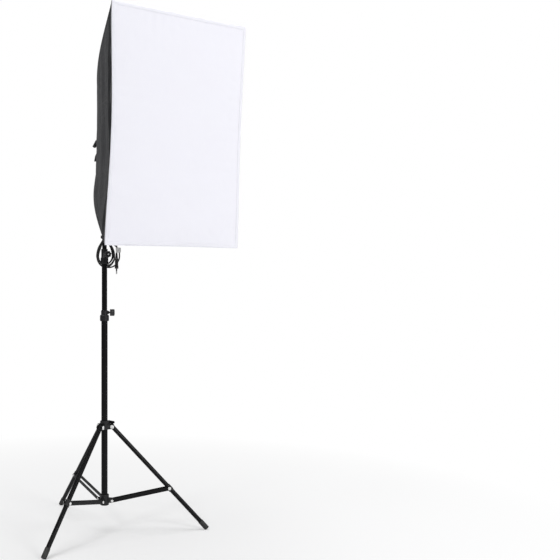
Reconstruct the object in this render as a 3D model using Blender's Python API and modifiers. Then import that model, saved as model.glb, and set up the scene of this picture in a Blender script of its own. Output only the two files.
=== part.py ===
"""Studio softbox on a three-section light stand: 50 x 70 cm box, lamp holder, tripod legs, mains lead.

Metres, +Z up. The softbox faces -Y. The origin is on the floor, under the middle of the object's footprint.
"""

import math

import bmesh
import bpy
from mathutils import Matrix, Vector

# ---- Driving dimensions ----
GAP = 0.0003  # between pieces that touch

# Where the column stands, so that the whole footprint is centred on the origin.
COLUMN_X, COLUMN_Y = 0.0062, 0.0542

# Column tubes: outer radii, wall, lower and upper ends.
TUBE_WALL = 0.0012
LOWER_R, LOWER_Z = 0.0110, (0.0900, 0.7480)
MIDDLE_R, MIDDLE_Z = 0.0095, (0.3150, 0.9545)
UPPER_R, UPPER_Z = 0.0080, (0.6300, 1.2880)

# Tripod. Heights are of the pivots; the legs stand at LEG_AZIMUTHS round the column.
LEG_AZIMUTHS = {"a": -32.0, "b": 88.0, "c": 208.0}
PIVOT_RADIUS = 0.0270  # of the collar's and the hub's pivots, from the column's axis
COLLAR_Z, HUB_Z = 0.3600, 0.1020
FOOT_RADIUS, FOOT_Z = 0.3585, 0.0040  # centre of the foot's end
LEG_TUBE_R, FOOT_R, CLIP_R = 0.00775, 0.0090, 0.0093
BRACE_ALONG_LEG = 0.2940  # brace pivot, from the collar pivot
BRACE_INNER, BRACE_THICK, BRACE_HALF_WIDTH = 0.0095, 0.0020, 0.0060
PIN_R, HOLE_R = 0.0024, 0.0027

# Clamps that lock the tubes: height and azimuth of each knob.
LOWER_KNOB_Z, LOWER_KNOB_AZIMUTH = 0.7590, -32.0
UPPER_KNOB_Z, UPPER_KNOB_AZIMUTH = 0.9620, -97.0
COLLAR_KNOB_Z, COLLAR_KNOB_AZIMUTH = 0.3710, 28.0
KNOB_R, KNOB_LONG, SCREW_R = 0.0112, 0.0155, 0.0030

# Lamp head. Its axis leaves the tilt pivot, which is on the column's axis, and points PITCH below level.
TILT_Z, PITCH = 1.3530, math.radians(3.4)
YOKE_INNER, YOKE_THICK, YOKE_HALF_DEPTH, YOKE_DROP = 0.0205, 0.0040, 0.0090, 0.0400
SOCKET_R, SOCKET_LONG = 0.0145, 0.0570
HOLDER_R, HOLDER_FRONT, HOLDER_REAR = 0.0195, 0.0400, 0.0100

# Softbox: half sizes of the front, its distance from the pivot, and the bowed ribs.
HALF_W, HALF_H, FRONT = 0.2450, 0.3500, 0.4515
RIB_START_R, RIB_START = 0.0350, 0.0500
RIB_SAGITTA, ROD_R, ROD_INSET = 0.0510, 0.0025, 0.0090
RIB_SKEW = 0.49  # how much nearer the hub the ribs bend most
ROD_END, ROD_STEPS = 0.982, 16  # where a rod stops along its rib, and its straight stretches
CLOTH, EDGE_BOW, SIDE_SAG = 0.0015, 0.0040, 0.0070
SHELL_START_R, SHELL_END = 0.0470, 0.998  # where the cloth starts, and the share of the ribs that it follows

# Mains lead.
CORD_R = 0.0025
TIE_Z = 1.0230

# ---- Materials: colour, roughness, metallic ----
MATERIALS = {
    "black_tube": ((0.012, 0.012, 0.013), 0.35, 0.0),
    "black_plastic": ((0.014, 0.014, 0.015), 0.45, 0.0),
    "white_rivet": ((0.80, 0.80, 0.79), 0.40, 0.0),
    "bright_metal": ((0.62, 0.62, 0.63), 0.25, 1.0),
    "black_cloth": ((0.045, 0.045, 0.050), 0.85, 0.0),
    "white_cloth": ((0.86, 0.87, 0.91), 0.90, 0.0),
    "glass_fibre": ((0.030, 0.030, 0.032), 0.40, 0.0),
    "bulb_white": ((0.90, 0.90, 0.88), 0.30, 0.0),
    "cord_black": ((0.015, 0.015, 0.015), 0.50, 0.0),
    "label_grey": ((0.62, 0.62, 0.62), 0.60, 0.0),
}


# ---- Scene, materials, placing ----
def clear_scene():
    for obj in list(bpy.data.objects):
        bpy.data.objects.remove(obj, do_unlink=True)


def collection(name):
    made = bpy.data.collections.new(name)
    bpy.context.scene.collection.children.link(made)
    return made


def material(name):
    colour, roughness, metallic = MATERIALS[name]
    made = bpy.data.materials.get(name) or bpy.data.materials.new(name)
    made.use_nodes = True
    shader = made.node_tree.nodes["Principled BSDF"]
    shader.inputs["Base Color"].default_value = (*colour, 1)
    shader.inputs["Roughness"].default_value = roughness
    shader.inputs["Metallic"].default_value = metallic
    return made


def empty(name, parent=None, location=(0, 0, 0), rotation=(0, 0, 0)):
    made = bpy.data.objects.new(name, None)
    PARTS.objects.link(made)
    made.parent = parent
    made.location = location
    made.rotation_euler = rotation
    return made


def place(obj, parent, location=(0, 0, 0), rotation=(0, 0, 0)):
    obj.parent = parent
    obj.location = location
    obj.rotation_euler = rotation
    return obj


def add(name, data, finish=None):
    """A new object from a mesh or a curve, in the object's collection, or a hidden cutter with no finish."""
    made = bpy.data.objects.new(name, data)
    (PARTS if finish else CUTTERS).objects.link(made)
    if finish:
        data.materials.append(material(finish))
    else:
        made.hide_render = True
        made.display_type = "WIRE"
    return made


def mesh_object(name, bm, finish=None, smooth=30):
    data = bpy.data.meshes.new(name)
    bm.to_mesh(data)
    bm.free()
    if smooth:
        data.shade_smooth()
        data.set_sharp_from_angle(angle=math.radians(smooth))
    return add(name, data, finish)


# ---- Shapes ----
def cylinder(name, radius, start, end, finish=None, sides=16):
    """A round bar between two points."""
    start, end = Vector(start), Vector(end)
    turn = (end - start).to_track_quat("Z", "Y").to_matrix().to_4x4()
    bm = bmesh.new()
    bmesh.ops.create_cone(
        bm, cap_ends=True, segments=sides, radius1=radius, radius2=radius, depth=(end - start).length,
        matrix=Matrix.Translation((start + end) / 2) @ turn,
    )
    return mesh_object(name, bm, finish)


def box(name, low, high, finish=None):
    low, high = Vector(low), Vector(high)
    bm = bmesh.new()
    bmesh.ops.create_cube(
        bm, size=1.0, matrix=Matrix.Translation((low + high) / 2) @ Matrix.Diagonal((*(high - low), 1)),
    )
    return mesh_object(name, bm, finish, smooth=0)


def turned(name, profile, finish, ring=False, steps=24):
    """A profile of (radius, height) points turned about Z. Outer sides run from top to bottom."""
    bm = bmesh.new()
    points = [bm.verts.new((radius, 0, height)) for radius, height in profile]
    for first, second in zip(points, points[1:]):
        bm.edges.new((first, second))
    if ring:
        bm.edges.new((points[-1], points[0]))
    made = mesh_object(name, bm, finish, smooth=0)
    screw = made.modifiers.new("turn", "SCREW")
    screw.steps = screw.render_steps = steps
    screw.use_merge_vertices = True
    screw.merge_threshold = 0.00001
    screw.use_smooth_shade = False
    return made


def sleeve(name, outer, inner, low, high, finish, steps=28):
    """A plain tube along Z."""
    return turned(name, [(outer, high), (outer, low), (inner, low), (inner, high)], finish, True, steps)


def plate(name, outlines, half_thickness, finish):
    """A flat outline in XY, with any holes as further outlines, extruded both ways along Z."""
    data = bpy.data.curves.new(name, "CURVE")
    data.dimensions = "2D"
    data.fill_mode = "BOTH"
    data.extrude = half_thickness
    for outline in outlines:
        spline = data.splines.new("POLY")
        spline.points.add(len(outline) - 1)
        spline.use_cyclic_u = True
        for point, (x, y) in zip(spline.points, outline):
            point.co = (x, y, 0, 1)
    return add(name, data, finish)


def rod(name, points, radius, finish, resolution=2):
    """A round rod or cord along a line of points."""
    data = bpy.data.curves.new(name, "CURVE")
    data.dimensions = "3D"
    data.bevel_depth = radius
    data.bevel_resolution = resolution
    data.use_fill_caps = True
    spline = data.splines.new("POLY")
    spline.points.add(len(points) - 1)
    for point, place_ in zip(spline.points, points):
        point.co = (*place_, 1)
    return add(name, data, finish)


def as_mesh(curve):
    """The same object as a welded mesh, which a Boolean can use."""
    bpy.context.view_layer.update()
    found = curve.evaluated_get(bpy.context.evaluated_depsgraph_get())
    data = bpy.data.meshes.new_from_object(found)
    bm = bmesh.new()
    bm.from_mesh(data)
    bmesh.ops.remove_doubles(bm, verts=bm.verts, dist=0.00001)
    bm.to_mesh(data)
    bm.free()
    name, home = curve.name, curve.users_collection[0]
    parent, world, local = curve.parent, curve.matrix_world.copy(), curve.matrix_basis.copy()
    bpy.data.objects.remove(curve)
    made = bpy.data.objects.new(name, data)
    home.objects.link(made)
    made.parent = parent
    if parent:
        made.matrix_basis = local
    else:
        made.matrix_world = world
    return made


def boolean(obj, other, operation):
    made = obj.modifiers.new(operation.lower(), "BOOLEAN")
    made.operation = operation
    made.object = other
    made.solver = "EXACT"


def hide_cutter(other):
    for home in list(other.users_collection):
        home.objects.unlink(other)
    CUTTERS.objects.link(other)
    other.hide_render = True
    other.display_type = "WIRE"


def cut(obj, *cutters):
    for cutter in cutters:
        cutter.parent = cutter.parent or obj.parent
        hide_cutter(cutter)
        boolean(obj, cutter, "DIFFERENCE")
    return obj


def join(obj, *others):
    for other in others:
        other.parent = other.parent or obj.parent
        hide_cutter(other)
        boolean(obj, other, "UNION")
    return obj


def soften(obj, width):
    made = obj.modifiers.new("rounded edges", "BEVEL")
    made.width = width
    made.limit_method = "ANGLE"
    made.angle_limit = math.radians(40)
    return obj


def arc(centre, radius, first, last, count):
    """Points of an arc, in degrees."""
    turns = [math.radians(first + (last - first) * i / (count - 1)) for i in range(count)]
    return [(centre[0] + radius * math.cos(t), centre[1] + radius * math.sin(t)) for t in turns]


def circle(centre, radius, count=12):
    return arc(centre, radius, 0, 360 * (count - 1) / count, count)


def smooth_line(points, spacing):
    """Evenly spaced points on a smooth curve through the points given."""
    points = [Vector(p) for p in points]
    ends = [points[0] * 2 - points[1], *points, points[-1] * 2 - points[-2]]
    fine = []
    for a, b, c, d in zip(ends, ends[1:], ends[2:], ends[3:]):
        for i in range(20):
            t = i / 20
            fine.append(
                0.5 * (2 * b + (c - a) * t + (2 * a - 5 * b + 4 * c - d) * t * t
                       + (3 * b - a - 3 * c + d) * t ** 3)
            )
    fine.append(points[-1])
    total = sum((q - p).length for p, q in zip(fine, fine[1:]))
    count = max(2, round(total / spacing))
    line, walked, target = [fine[0]], 0.0, total / count
    for p, q in zip(fine, fine[1:]):
        step = (q - p).length
        while len(line) < count and walked + step >= target * len(line):
            line.append(p.lerp(q, (target * len(line) - walked) / step))
        walked += step
    return [*line, fine[-1]]


# ---- Frame ----
def make_frame():
    """The joints' axes, as empties."""
    frame = {"stand": empty("stand_axis", None, (COLUMN_X, COLUMN_Y, 0))}
    stand = frame["stand"]
    for side, azimuth in LEG_AZIMUTHS.items():
        turn = (0, 0, math.radians(azimuth))
        out = Matrix.Rotation(turn[2], 3, "Z") @ Vector((PIVOT_RADIUS, 0, 0))
        frame["leg_" + side] = empty("leg_hinge_" + side, stand, (out.x, out.y, COLLAR_Z), turn)
        frame["brace_" + side] = empty("brace_hinge_" + side, stand, (out.x, out.y, HUB_Z), turn)
    for name, height, azimuth in (
        ("lower_knob", LOWER_KNOB_Z, LOWER_KNOB_AZIMUTH),
        ("upper_knob", UPPER_KNOB_Z, UPPER_KNOB_AZIMUTH),
        ("collar_knob", COLLAR_KNOB_Z, COLLAR_KNOB_AZIMUTH),
    ):
        frame[name] = empty(name + "_axis", stand, (0, 0, height), (0, 0, math.radians(azimuth)))
    frame["swivel"] = empty("swivel_axis", stand, (0, 0, TILT_Z))
    frame["head"] = empty("tilt_axis", stand, (0, 0, TILT_Z), (PITCH, 0, 0))
    return frame


# ---- Column ----
def column(frame):
    stand = frame["stand"]
    for name, radius, (low, high) in (
        ("lower_tube", LOWER_R, LOWER_Z),
        ("middle_tube", MIDDLE_R, MIDDLE_Z),
        ("upper_tube", UPPER_R, UPPER_Z),
    ):
        place(sleeve(name, radius, radius - TUBE_WALL, low, high, "black_tube"), stand)
    top = UPPER_Z[1] + GAP
    stud = turned(
        "top_stud",
        [(0, top + 0.0165), (0.0048, top + 0.0165), (0.0058, top + 0.0155), (0.0058, top), (0, top)],
        "bright_metal",
    )
    place(stud, stand)


def clamp(frame, name, knob, below_r, above_r, low, shoulder, step, high, outer, neck):
    """A moulded sleeve on the top of one tube, with a screw boss that locks the next."""
    chamfer = 0.0006
    body = turned(
        name,
        [
            (neck - chamfer, high), (neck, high - chamfer), (neck, step + 0.0025),
            (outer - chamfer, step + chamfer), (outer, step), (outer, low + chamfer), (outer - chamfer, low),
            (below_r + GAP, low), (below_r + GAP, shoulder + GAP),
            (above_r + GAP, shoulder + GAP), (above_r + GAP, high),
        ],
        "black_plastic", ring=True,
    )
    place(body, frame["stand"])
    boss = cylinder(name + "_boss", 0.0055, (above_r + 0.0012, 0, 0), (neck + 0.0045, 0, 0))
    bore = cylinder(name + "_bore", SCREW_R + GAP, (above_r - 0.002, 0, 0), (neck + 0.010, 0, 0))
    boss.parent = bore.parent = frame[knob]
    join(body, boss)
    cut(body, bore)
    return neck + 0.0045


def lock_knob(frame, name, knob, tip, start):
    """A fluted knob on its screw, along the local X axis."""
    lobes, count = 7, 42
    turns = [2 * math.pi * i / count for i in range(count)]
    radius = [KNOB_R + 0.0010 * math.cos(lobes * t) for t in turns]
    outline = [(r * math.cos(t), r * math.sin(t)) for r, t in zip(radius, turns)]
    head = plate(name, [outline], KNOB_LONG / 2, "black_plastic")
    place(head, frame[knob], (start + KNOB_LONG / 2, 0, 0), (0, math.pi / 2, 0))
    head = soften(as_mesh(head), 0.0012)
    screw = cylinder(name + "_screw", SCREW_R, (tip, 0, 0), (start + 0.003, 0, 0))
    screw.parent = frame[knob]
    join(head, screw)


def clamps(frame):
    face = clamp(
        frame, "lower_clamp", "lower_knob", LOWER_R, MIDDLE_R,
        0.7290, LOWER_Z[1], 0.7490, 0.7660, 0.0152, 0.0120,
    )
    lock_knob(frame, "lower_clamp_knob", "lower_knob", MIDDLE_R + GAP, face + 0.0028)
    face = clamp(
        frame, "upper_clamp", "upper_knob", MIDDLE_R, UPPER_R,
        0.9285, MIDDLE_Z[1], 0.9500, 0.9810, 0.0130, 0.0112,
    )
    lock_knob(frame, "upper_clamp_knob", "upper_knob", UPPER_R + GAP, face + 0.0028)


# ---- Tripod ----
def rivet(name, half_grip, cap_r, home, frame, cap=0.0020):
    """A pin through a leg's or a brace's pivot, with a round cap on each end. home is (azimuth, height)."""
    end = half_grip + cap
    profile = [
        (0, end), (cap_r * 0.7, end), (cap_r, end - cap * 0.6), (cap_r, half_grip), (PIN_R, half_grip),
        (PIN_R, -half_grip), (cap_r, -half_grip), (cap_r, -end + cap * 0.6), (cap_r * 0.7, -end), (0, -end),
    ]
    out = Matrix.Rotation(home[0], 3, "Z") @ Vector((PIVOT_RADIUS, 0, 0))
    pin = turned(name, profile, "white_rivet", steps=16)
    return place(pin, frame["stand"], (out.x, out.y, home[1]), (math.pi / 2, 0, home[0]))


def ear(name, inner, half_thickness, across, radius, home):
    """A rounded lug in the radial plane, from the column out to the pivot, centred at `across`."""
    outline = [
        (inner, -radius * 1.15), *arc((PIVOT_RADIUS, 0), radius, -90, 90, 7), (inner, radius * 1.15),
    ]
    made = plate(name, [outline], half_thickness, "black_plastic")
    turn = Matrix.Rotation(home[0], 3, "Z")
    made.rotation_euler = (math.pi / 2, 0, home[0])
    made.location = turn @ Vector((0, across, 0)) + Vector((0, 0, home[1]))
    return as_mesh(made)


def pin_hole(name, half_length, home):
    turn = Matrix.Rotation(home[0], 3, "Z")
    ends = [turn @ Vector((PIVOT_RADIUS, s * half_length, 0)) + Vector((0, 0, home[1])) for s in (-1, 1)]
    return cylinder(name, HOLE_R, *ends, sides=12)


def bottom_hub(frame):
    """A cup under the column with one ear for each pair of braces."""
    floor, outer = 0.0860, 0.0158
    hub = turned(
        "bottom_hub",
        [
            (0, LOWER_Z[0] - GAP), (LOWER_R + GAP, LOWER_Z[0] - GAP), (LOWER_R + GAP, 0.1230),
            (outer - 0.0008, 0.1230), (outer, 0.1222), (outer, floor + 0.0015), (outer - 0.0015, floor),
            (0, floor),
        ],
        "black_plastic",
    )
    place(hub, frame["stand"])
    for side, azimuth in LEG_AZIMUTHS.items():
        home = (math.radians(azimuth), HUB_Z)
        lug = ear("hub_ear_" + side, 0.0135, BRACE_INNER - GAP, 0, 0.0068, home)
        join(hub, lug)
        cut(hub, pin_hole("hub_hole_" + side, 0.020, home))
        rivet("hub_rivet_" + side, BRACE_INNER + BRACE_THICK + GAP, 0.0048, home, frame)


def leg_collar(frame):
    """The sliding collar with three pairs of ears and a screw boss."""
    low, high, outer = 0.3500, 0.3800, 0.0152
    collar = turned(
        "leg_collar",
        [
            (outer - 0.0008, high), (outer, high - 0.0008), (outer, low + 0.0008), (outer - 0.0008, low),
            (LOWER_R + GAP, low), (LOWER_R + GAP, high),
        ],
        "black_plastic", ring=True,
    )
    place(collar, frame["stand"])
    inside, thick = LEG_TUBE_R + 0.0005, 0.0030
    for side, azimuth in LEG_AZIMUTHS.items():
        home = (math.radians(azimuth), COLLAR_Z)
        for sign in (-1, 1):
            lug = ear(
                f"collar_ear_{side}_{sign}", 0.0092, thick / 2, sign * (inside + thick / 2), 0.0078, home,
            )
            join(collar, lug)
        cut(collar, pin_hole("collar_hole_" + side, 0.020, home))
        rivet("collar_rivet_" + side, inside + thick + GAP, 0.0066, home, frame)
    boss = cylinder("collar_boss", 0.0055, (0.0125, 0, 0), (0.0195, 0, 0))
    bore = cylinder("collar_bore", SCREW_R + GAP, (0.0090, 0, 0), (0.0250, 0, 0))
    boss.parent = bore.parent = frame["collar_knob"]
    join(collar, boss)
    cut(collar, bore)


def collar_wing(frame):
    """The wing screw that locks the collar to the column."""
    hub = cylinder("collar_wing", 0.0062, (0.0220, 0, 0), (0.0330, 0, 0), "black_plastic")
    hub.parent = frame["collar_knob"]
    outline = [
        (-0.0045, -0.0040), *arc((0.0165, 0.0010), 0.0050, -70, 100, 7), (-0.0010, 0.0052),
        (-0.0165, 0.0048), *arc((-0.0175, 0.0000), 0.0046, 110, 260, 6),
    ]
    wing = place(
        plate("collar_wing_bar", [outline], 0.0030, "black_plastic"),
        frame["collar_knob"], (0.0300, 0, 0), (math.pi / 2, 0, math.pi / 2),
    )
    screw = cylinder("collar_wing_screw", SCREW_R, (LOWER_R + GAP, 0, 0), (0.0240, 0, 0))
    screw.parent = frame["collar_knob"]
    join(hub, as_mesh(wing), screw)


def leg_direction():
    return Vector((FOOT_RADIUS - PIVOT_RADIUS, 0, FOOT_Z - COLLAR_Z)).normalized()


def leg_length():
    return Vector((FOOT_RADIUS - PIVOT_RADIUS, 0, FOOT_Z - COLLAR_Z)).length


def leg(frame, side):
    """One leg in its hinge's frame: X outward, Y along the pin."""
    home, way, length = frame["leg_" + side], leg_direction(), leg_length()
    foot_long, sole = 0.0340, 0.0040
    turn = (-way).to_track_quat("Z", "X").to_euler()
    tube = sleeve(
        "leg_tube_" + side, LEG_TUBE_R, LEG_TUBE_R - TUBE_WALL, sole, length + 0.0060, "black_tube", 20,
    )
    place(tube, home, way * length, turn)
    cut(tube, cylinder("leg_hole_" + side, HOLE_R, (0, -0.02, 0), (0, 0.02, 0)))
    inner = LEG_TUBE_R + GAP
    foot = turned(
        "foot_" + side,
        [
            (0, sole - GAP), (inner, sole - GAP), (inner, foot_long), (FOOT_R - 0.0005, foot_long),
            (FOOT_R, foot_long - 0.0006), (FOOT_R, 0), (0, 0),
        ],
        "black_plastic", steps=20,
    )
    place(foot, home, way * length, turn)
    floor = box("floor_" + side, (-0.05, -0.05, -0.05), (0.05, 0.05, 0))
    out = Vector((FOOT_RADIUS - PIVOT_RADIUS, 0, -COLLAR_Z))
    place(floor, home, out)
    cut(foot, floor)
    clip = turned(
        "leg_clip_" + side,
        [(CLIP_R, 0.0110), (CLIP_R, -0.0110), (inner, -0.0110), (inner, 0.0110)],
        "black_plastic", ring=True, steps=20,
    )
    place(clip, home, way * BRACE_ALONG_LEG, turn)


def brace_run():
    """The brace's pivot on the leg, seen from its pivot on the hub."""
    end = leg_direction() * BRACE_ALONG_LEG
    return Vector((end.x, 0, COLLAR_Z - HUB_Z + end.z))


def brace(frame, side):
    """Two flat bars that straddle the leg. Each has the head of a short rivet at its outer end."""
    home, run = frame["brace_" + side], brace_run()
    tilt = Matrix.Rotation(-math.atan2(run.z, run.x), 4, "Y")
    half, head_r = BRACE_HALF_WIDTH, 0.0052
    outline = [*arc((0, 0), half, 90, 270, 7), *arc((run.length, 0), half, -90, 90, 7)]
    for sign, name in ((-1, "right"), (1, "left")):
        middle = sign * (BRACE_INNER + BRACE_THICK / 2)
        bar = plate(
            f"brace_bar_{side}_{name}", [outline, circle((0, 0), HOLE_R)], BRACE_THICK / 2, "black_tube",
        )
        place(bar, home)
        bar.matrix_basis = tilt @ Matrix.Translation((0, middle, 0)) @ Matrix.Rotation(math.pi / 2, 4, "X")
        head = turned(
            f"rivet_head_{side}_{name}",
            [(0, 0.0032), (head_r * 0.7, 0.0032), (head_r, 0.0020), (head_r, 0.0005), (0, 0.0005)],
            "white_rivet", steps=16,
        )
        place(head, home)
        head.matrix_basis = (
            Matrix.Translation((run.x, middle, run.z)) @ Matrix.Rotation(-sign * math.pi / 2, 4, "X")
        )
        join(as_mesh(bar), head)


# ---- Swivel base ----
def side_plate(name, outlines, low_x, high_x, home, finish):
    """A flat piece in the YZ plane, between two X values. Outlines are (y, z) points."""
    made = plate(name, outlines, (high_x - low_x) / 2, finish)
    place(made, home, ((low_x + high_x) / 2, 0, 0), (math.pi / 2, 0, math.pi / 2))
    return as_mesh(made)


def tilt_yoke(frame):
    """A socket on the column's top, and the fork that carries the lamp holder."""
    home = frame["swivel"]
    base_top, base_low = -YOKE_DROP, -YOKE_DROP - 0.0050
    outer = YOKE_INNER + YOKE_THICK
    yoke = box(
        "tilt_yoke", (-outer, -YOKE_HALF_DEPTH, base_low), (outer, YOKE_HALF_DEPTH, base_top),
        "black_plastic",
    )
    yoke.parent = home
    outline = [
        (-YOKE_HALF_DEPTH, base_low), (YOKE_HALF_DEPTH, base_low),
        (YOKE_HALF_DEPTH, 0), *arc((0, 0), YOKE_HALF_DEPTH, 15, 165, 9), (-YOKE_HALF_DEPTH, 0),
    ]
    for sign, name in ((-1, "left"), (1, "right")):
        ends = sorted((sign * YOKE_INNER, sign * outer))
        arm = [outline, circle((0, 0), 0.0043)]
        join(yoke, side_plate("yoke_arm_" + name, arm, *ends, home, "black_plastic"))
    top, low = base_low + 0.0010, base_low - SOCKET_LONG
    cup = turned(
        "yoke_cup",
        [
            (0, top), (SOCKET_R, top), (SOCKET_R, low + 0.0010), (SOCKET_R - 0.0010, low),
            (UPPER_R + GAP, low), (UPPER_R + GAP, base_low - 0.0020), (0, base_low - 0.0020),
        ],
        "black_plastic",
    )
    place(cup, home)
    boss = cylinder("yoke_boss", 0.0060, (-0.0100, 0, -0.0580), (-0.0190, 0, -0.0580))
    boss.parent = home
    join(yoke, cup, boss)


def blade(name, outline, half_width, home):
    """A lever's handle: an outline in the XZ plane with thickness along Y."""
    made = plate(name, [outline], half_width, "black_plastic")
    place(made, home, (0, 0, 0), (math.pi / 2, 0, 0))
    return as_mesh(made)


def levers(frame):
    """The tilt lock on the fork's left arm and the lock of the socket below it."""
    home = frame["swivel"]
    tilt = cylinder("tilt_lever", 0.0080, (-0.0248, 0, 0), (-0.0310, 0, 0), "black_plastic", sides=20)
    tilt.parent = home
    handle = [
        (-0.0262, 0.0040), (-0.0325, 0.0062), (-0.0450, -0.0165), (-0.0380, -0.0212), (-0.0262, -0.0040),
    ]
    join(tilt, blade("tilt_handle", handle, 0.0058, home))
    lock = cylinder(
        "socket_lever", 0.0065, (-0.0193, 0, -0.0580), (-0.0265, 0, -0.0580), "black_plastic", sides=20,
    )
    lock.parent = home
    handle = [
        (-0.0208, -0.0468), (-0.0249, -0.0468), (-0.0252, -0.0350), (-0.0290, -0.0380), (-0.0350, -0.0490),
        (-0.0388, -0.0680), (-0.0262, -0.0680), (-0.0208, -0.0600),
    ]
    join(lock, blade("socket_handle", handle, 0.0050, home))
    cap = turned(
        "tilt_pivot_cap", [(0, 0.0026), (0.0050, 0.0026), (0.0070, 0.0014), (0.0070, 0), (0, 0)],
        "bright_metal", steps=24,
    )
    place(cap, home, (YOKE_INNER + YOKE_THICK + GAP, 0, 0), (0, math.pi / 2, 0))


# ---- Lamp holder ----
def head_turned(frame, name, profile, finish, ring=False, steps=24):
    """Turned about the lamp's axis: each point is (radius, distance forward of the pivot)."""
    made = turned(name, profile, finish, ring, steps)
    return place(made, frame["head"], (0, 0, 0), (math.pi / 2, 0, 0))


def lamp_holder(frame):
    inner = HOLDER_R - 0.0030
    body = head_turned(
        frame, "lamp_holder",
        [
            (HOLDER_R, HOLDER_FRONT), (HOLDER_R, -HOLDER_REAR), (inner, -HOLDER_REAR), (inner, HOLDER_FRONT),
        ],
        "black_plastic", ring=True,
    )
    for sign, name in ((-1, "left"), (1, "right")):
        reach = sign * (YOKE_INNER + YOKE_THICK - 0.0001)
        stub = cylinder("trunnion_" + name, 0.0040, (sign * (inner + 0.0010), 0, 0), (reach, 0, 0))
        stub.parent = frame["head"]
        join(body, stub)
    back = -HOLDER_REAR - GAP
    cap = head_turned(
        frame, "rear_cap",
        [
            (0, back), (HOLDER_R, back), (HOLDER_R, back - 0.0035),
            (HOLDER_R - 0.0010, back - 0.0045), (0, back - 0.0045),
        ],
        "black_plastic",
    )
    pocket = box("switch_pocket", (-0.0078, 0.0080, 0.0028), (0.0078, 0.0200, 0.0122))
    pocket.parent = frame["head"]
    channel = cylinder("gland_bore", 0.0056, (0, 0.0060, -0.0030), (0, 0.0200, -0.0170))
    channel.parent = frame["head"]
    cut(cap, pocket, channel)
    rocker = box("power_switch", (-0.0074, 0.0106, 0.0034), (0.0074, 0.0164, 0.0116), "black_plastic")
    rocker.parent = frame["head"]
    soften(rocker, 0.0008)


def cable_gland(frame):
    """The tapered strain relief, which leaves the rear cap 45 degrees below level."""
    bore = CORD_R + GAP
    gland = turned(
        "cable_gland",
        [
            (0.0050, 0.0060), (0.0050, 0.0020), (0.0046, -0.0010), (0.0038, -0.0180), (0.0036, -0.0190),
            (bore, -0.0190), (bore, 0.0060),
        ],
        "black_plastic", ring=True, steps=20,
    )
    place(gland, frame["head"], (0, 0.0145, -0.0115), (math.radians(45), 0, 0))


def lamp(frame):
    """The E27 socket, and the bulb with its cap."""
    head_turned(
        frame, "bulb_socket",
        [(0, 0.0100), (0.0138, 0.0100), (0.0138, 0.0550), (0.0160, 0.0550), (0.0160, 0.0060), (0, 0.0060)],
        "black_plastic",
    )
    head_turned(
        frame, "bulb_cap",
        [
            (0, 0.0557), (0.0133, 0.0557), (0.0133, 0.0300), (0.0115, 0.0265), (0.0050, 0.0250),
            (0.0050, 0.0235),
            (0, 0.0235),
        ],
        "bright_metal", steps=24,
    )
    head_turned(
        frame, "bulb",
        [
            (0, 0.1960), (0.0150, 0.1925), (0.0260, 0.1830), (0.0330, 0.1690), (0.0350, 0.1520),
            (0.0345, 0.1300),
            (0.0300, 0.1020), (0.0210, 0.0760), (0.0150, 0.0600), (0.0136, 0.0560), (0, 0.0560),
        ],
        "bulb_white",
    )


def rod_hub(frame):
    """The ring in front of the holder, with one angled socket for each rib."""
    back = HOLDER_FRONT + GAP
    hub = head_turned(
        frame, "rod_hub",
        [
            (0.0250, 0.0585), (0.0250, back + 0.0015), (0.0235, back), (0.0166, back), (0.0166, 0.0585),
        ],
        "black_plastic", ring=True,
    )
    for corner, (across, up) in CORNERS.items():
        start, way = rib_place(0, ROD_INSET, across, up), rib_way(across, up)
        boss = cylinder("rod_boss_" + corner, 0.0054, start - way * 0.0100, start + way * 0.0100)
        boss.parent = frame["head"]
        join(hub, boss)
    for corner, (across, up) in CORNERS.items():
        start, way = rib_place(0, ROD_INSET, across, up), rib_way(across, up)
        bore = cylinder(
            "rod_bore_" + corner, ROD_R + GAP, start - way * 0.0010, start + way * 0.0200, sides=12,
        )
        bore.parent = frame["head"]
        cut(hub, bore)


# ---- Softbox ----
CORNERS = {"top_left": (-1, 1), "top_right": (1, 1), "bottom_left": (-1, -1), "bottom_right": (1, -1)}


def rib_arc(t, inset=0.0):
    """(distance from the lamp's axis, distance forward) on the bowed rib; t is 0 at the hub, 1 at the front.

    inset moves the point inward along the curve's normal.
    """
    rise, run = math.hypot(HALF_W, HALF_H) - RIB_START_R, FRONT - RIB_START
    chord = math.hypot(rise, run)
    lean = 1 + RIB_SKEW * (1 - 2 * t)
    slope = 4 * RIB_SAGITTA * ((1 - 2 * t) * lean - 2 * RIB_SKEW * t * (1 - t)) / chord
    bend = math.hypot(1, slope)
    along = chord * t + inset * slope / bend
    out = 4 * RIB_SAGITTA * t * (1 - t) * lean - inset / bend
    e_r, e_f = rise / chord, run / chord
    return RIB_START_R + along * e_r + out * e_f, RIB_START + along * e_f - out * e_r


def rib_place(t, inset, across, up):
    """A point of one corner's rib, in the head's frame."""
    away, forward = rib_arc(t, inset)
    diagonal = math.hypot(HALF_W, HALF_H)
    return Vector((across * away * HALF_W / diagonal, -forward, up * away * HALF_H / diagonal))


def rib_way(across, up):
    """The way a rod leaves its socket, along its first straight stretch."""
    first = rib_place(ROD_END / ROD_STEPS, ROD_INSET, across, up)
    return (first - rib_place(0, ROD_INSET, across, up)).normalized()


def ribs(frame):
    """Four glass-fibre rods, bent outward by the cloth."""
    for corner, (across, up) in CORNERS.items():
        line = [rib_place(ROD_END * i / ROD_STEPS, ROD_INSET, across, up) for i in range(ROD_STEPS + 1)]
        rod("rib_" + corner, line, ROD_R, "glass_fibre").parent = frame["head"]


def shell_start():
    """Where along the ribs the cloth begins."""
    low, high = 0.0, 0.2
    for _ in range(40):
        middle = (low + high) / 2
        low, high = (middle, high) if rib_arc(middle)[0] < SHELL_START_R else (low, middle)
    return low


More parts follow.
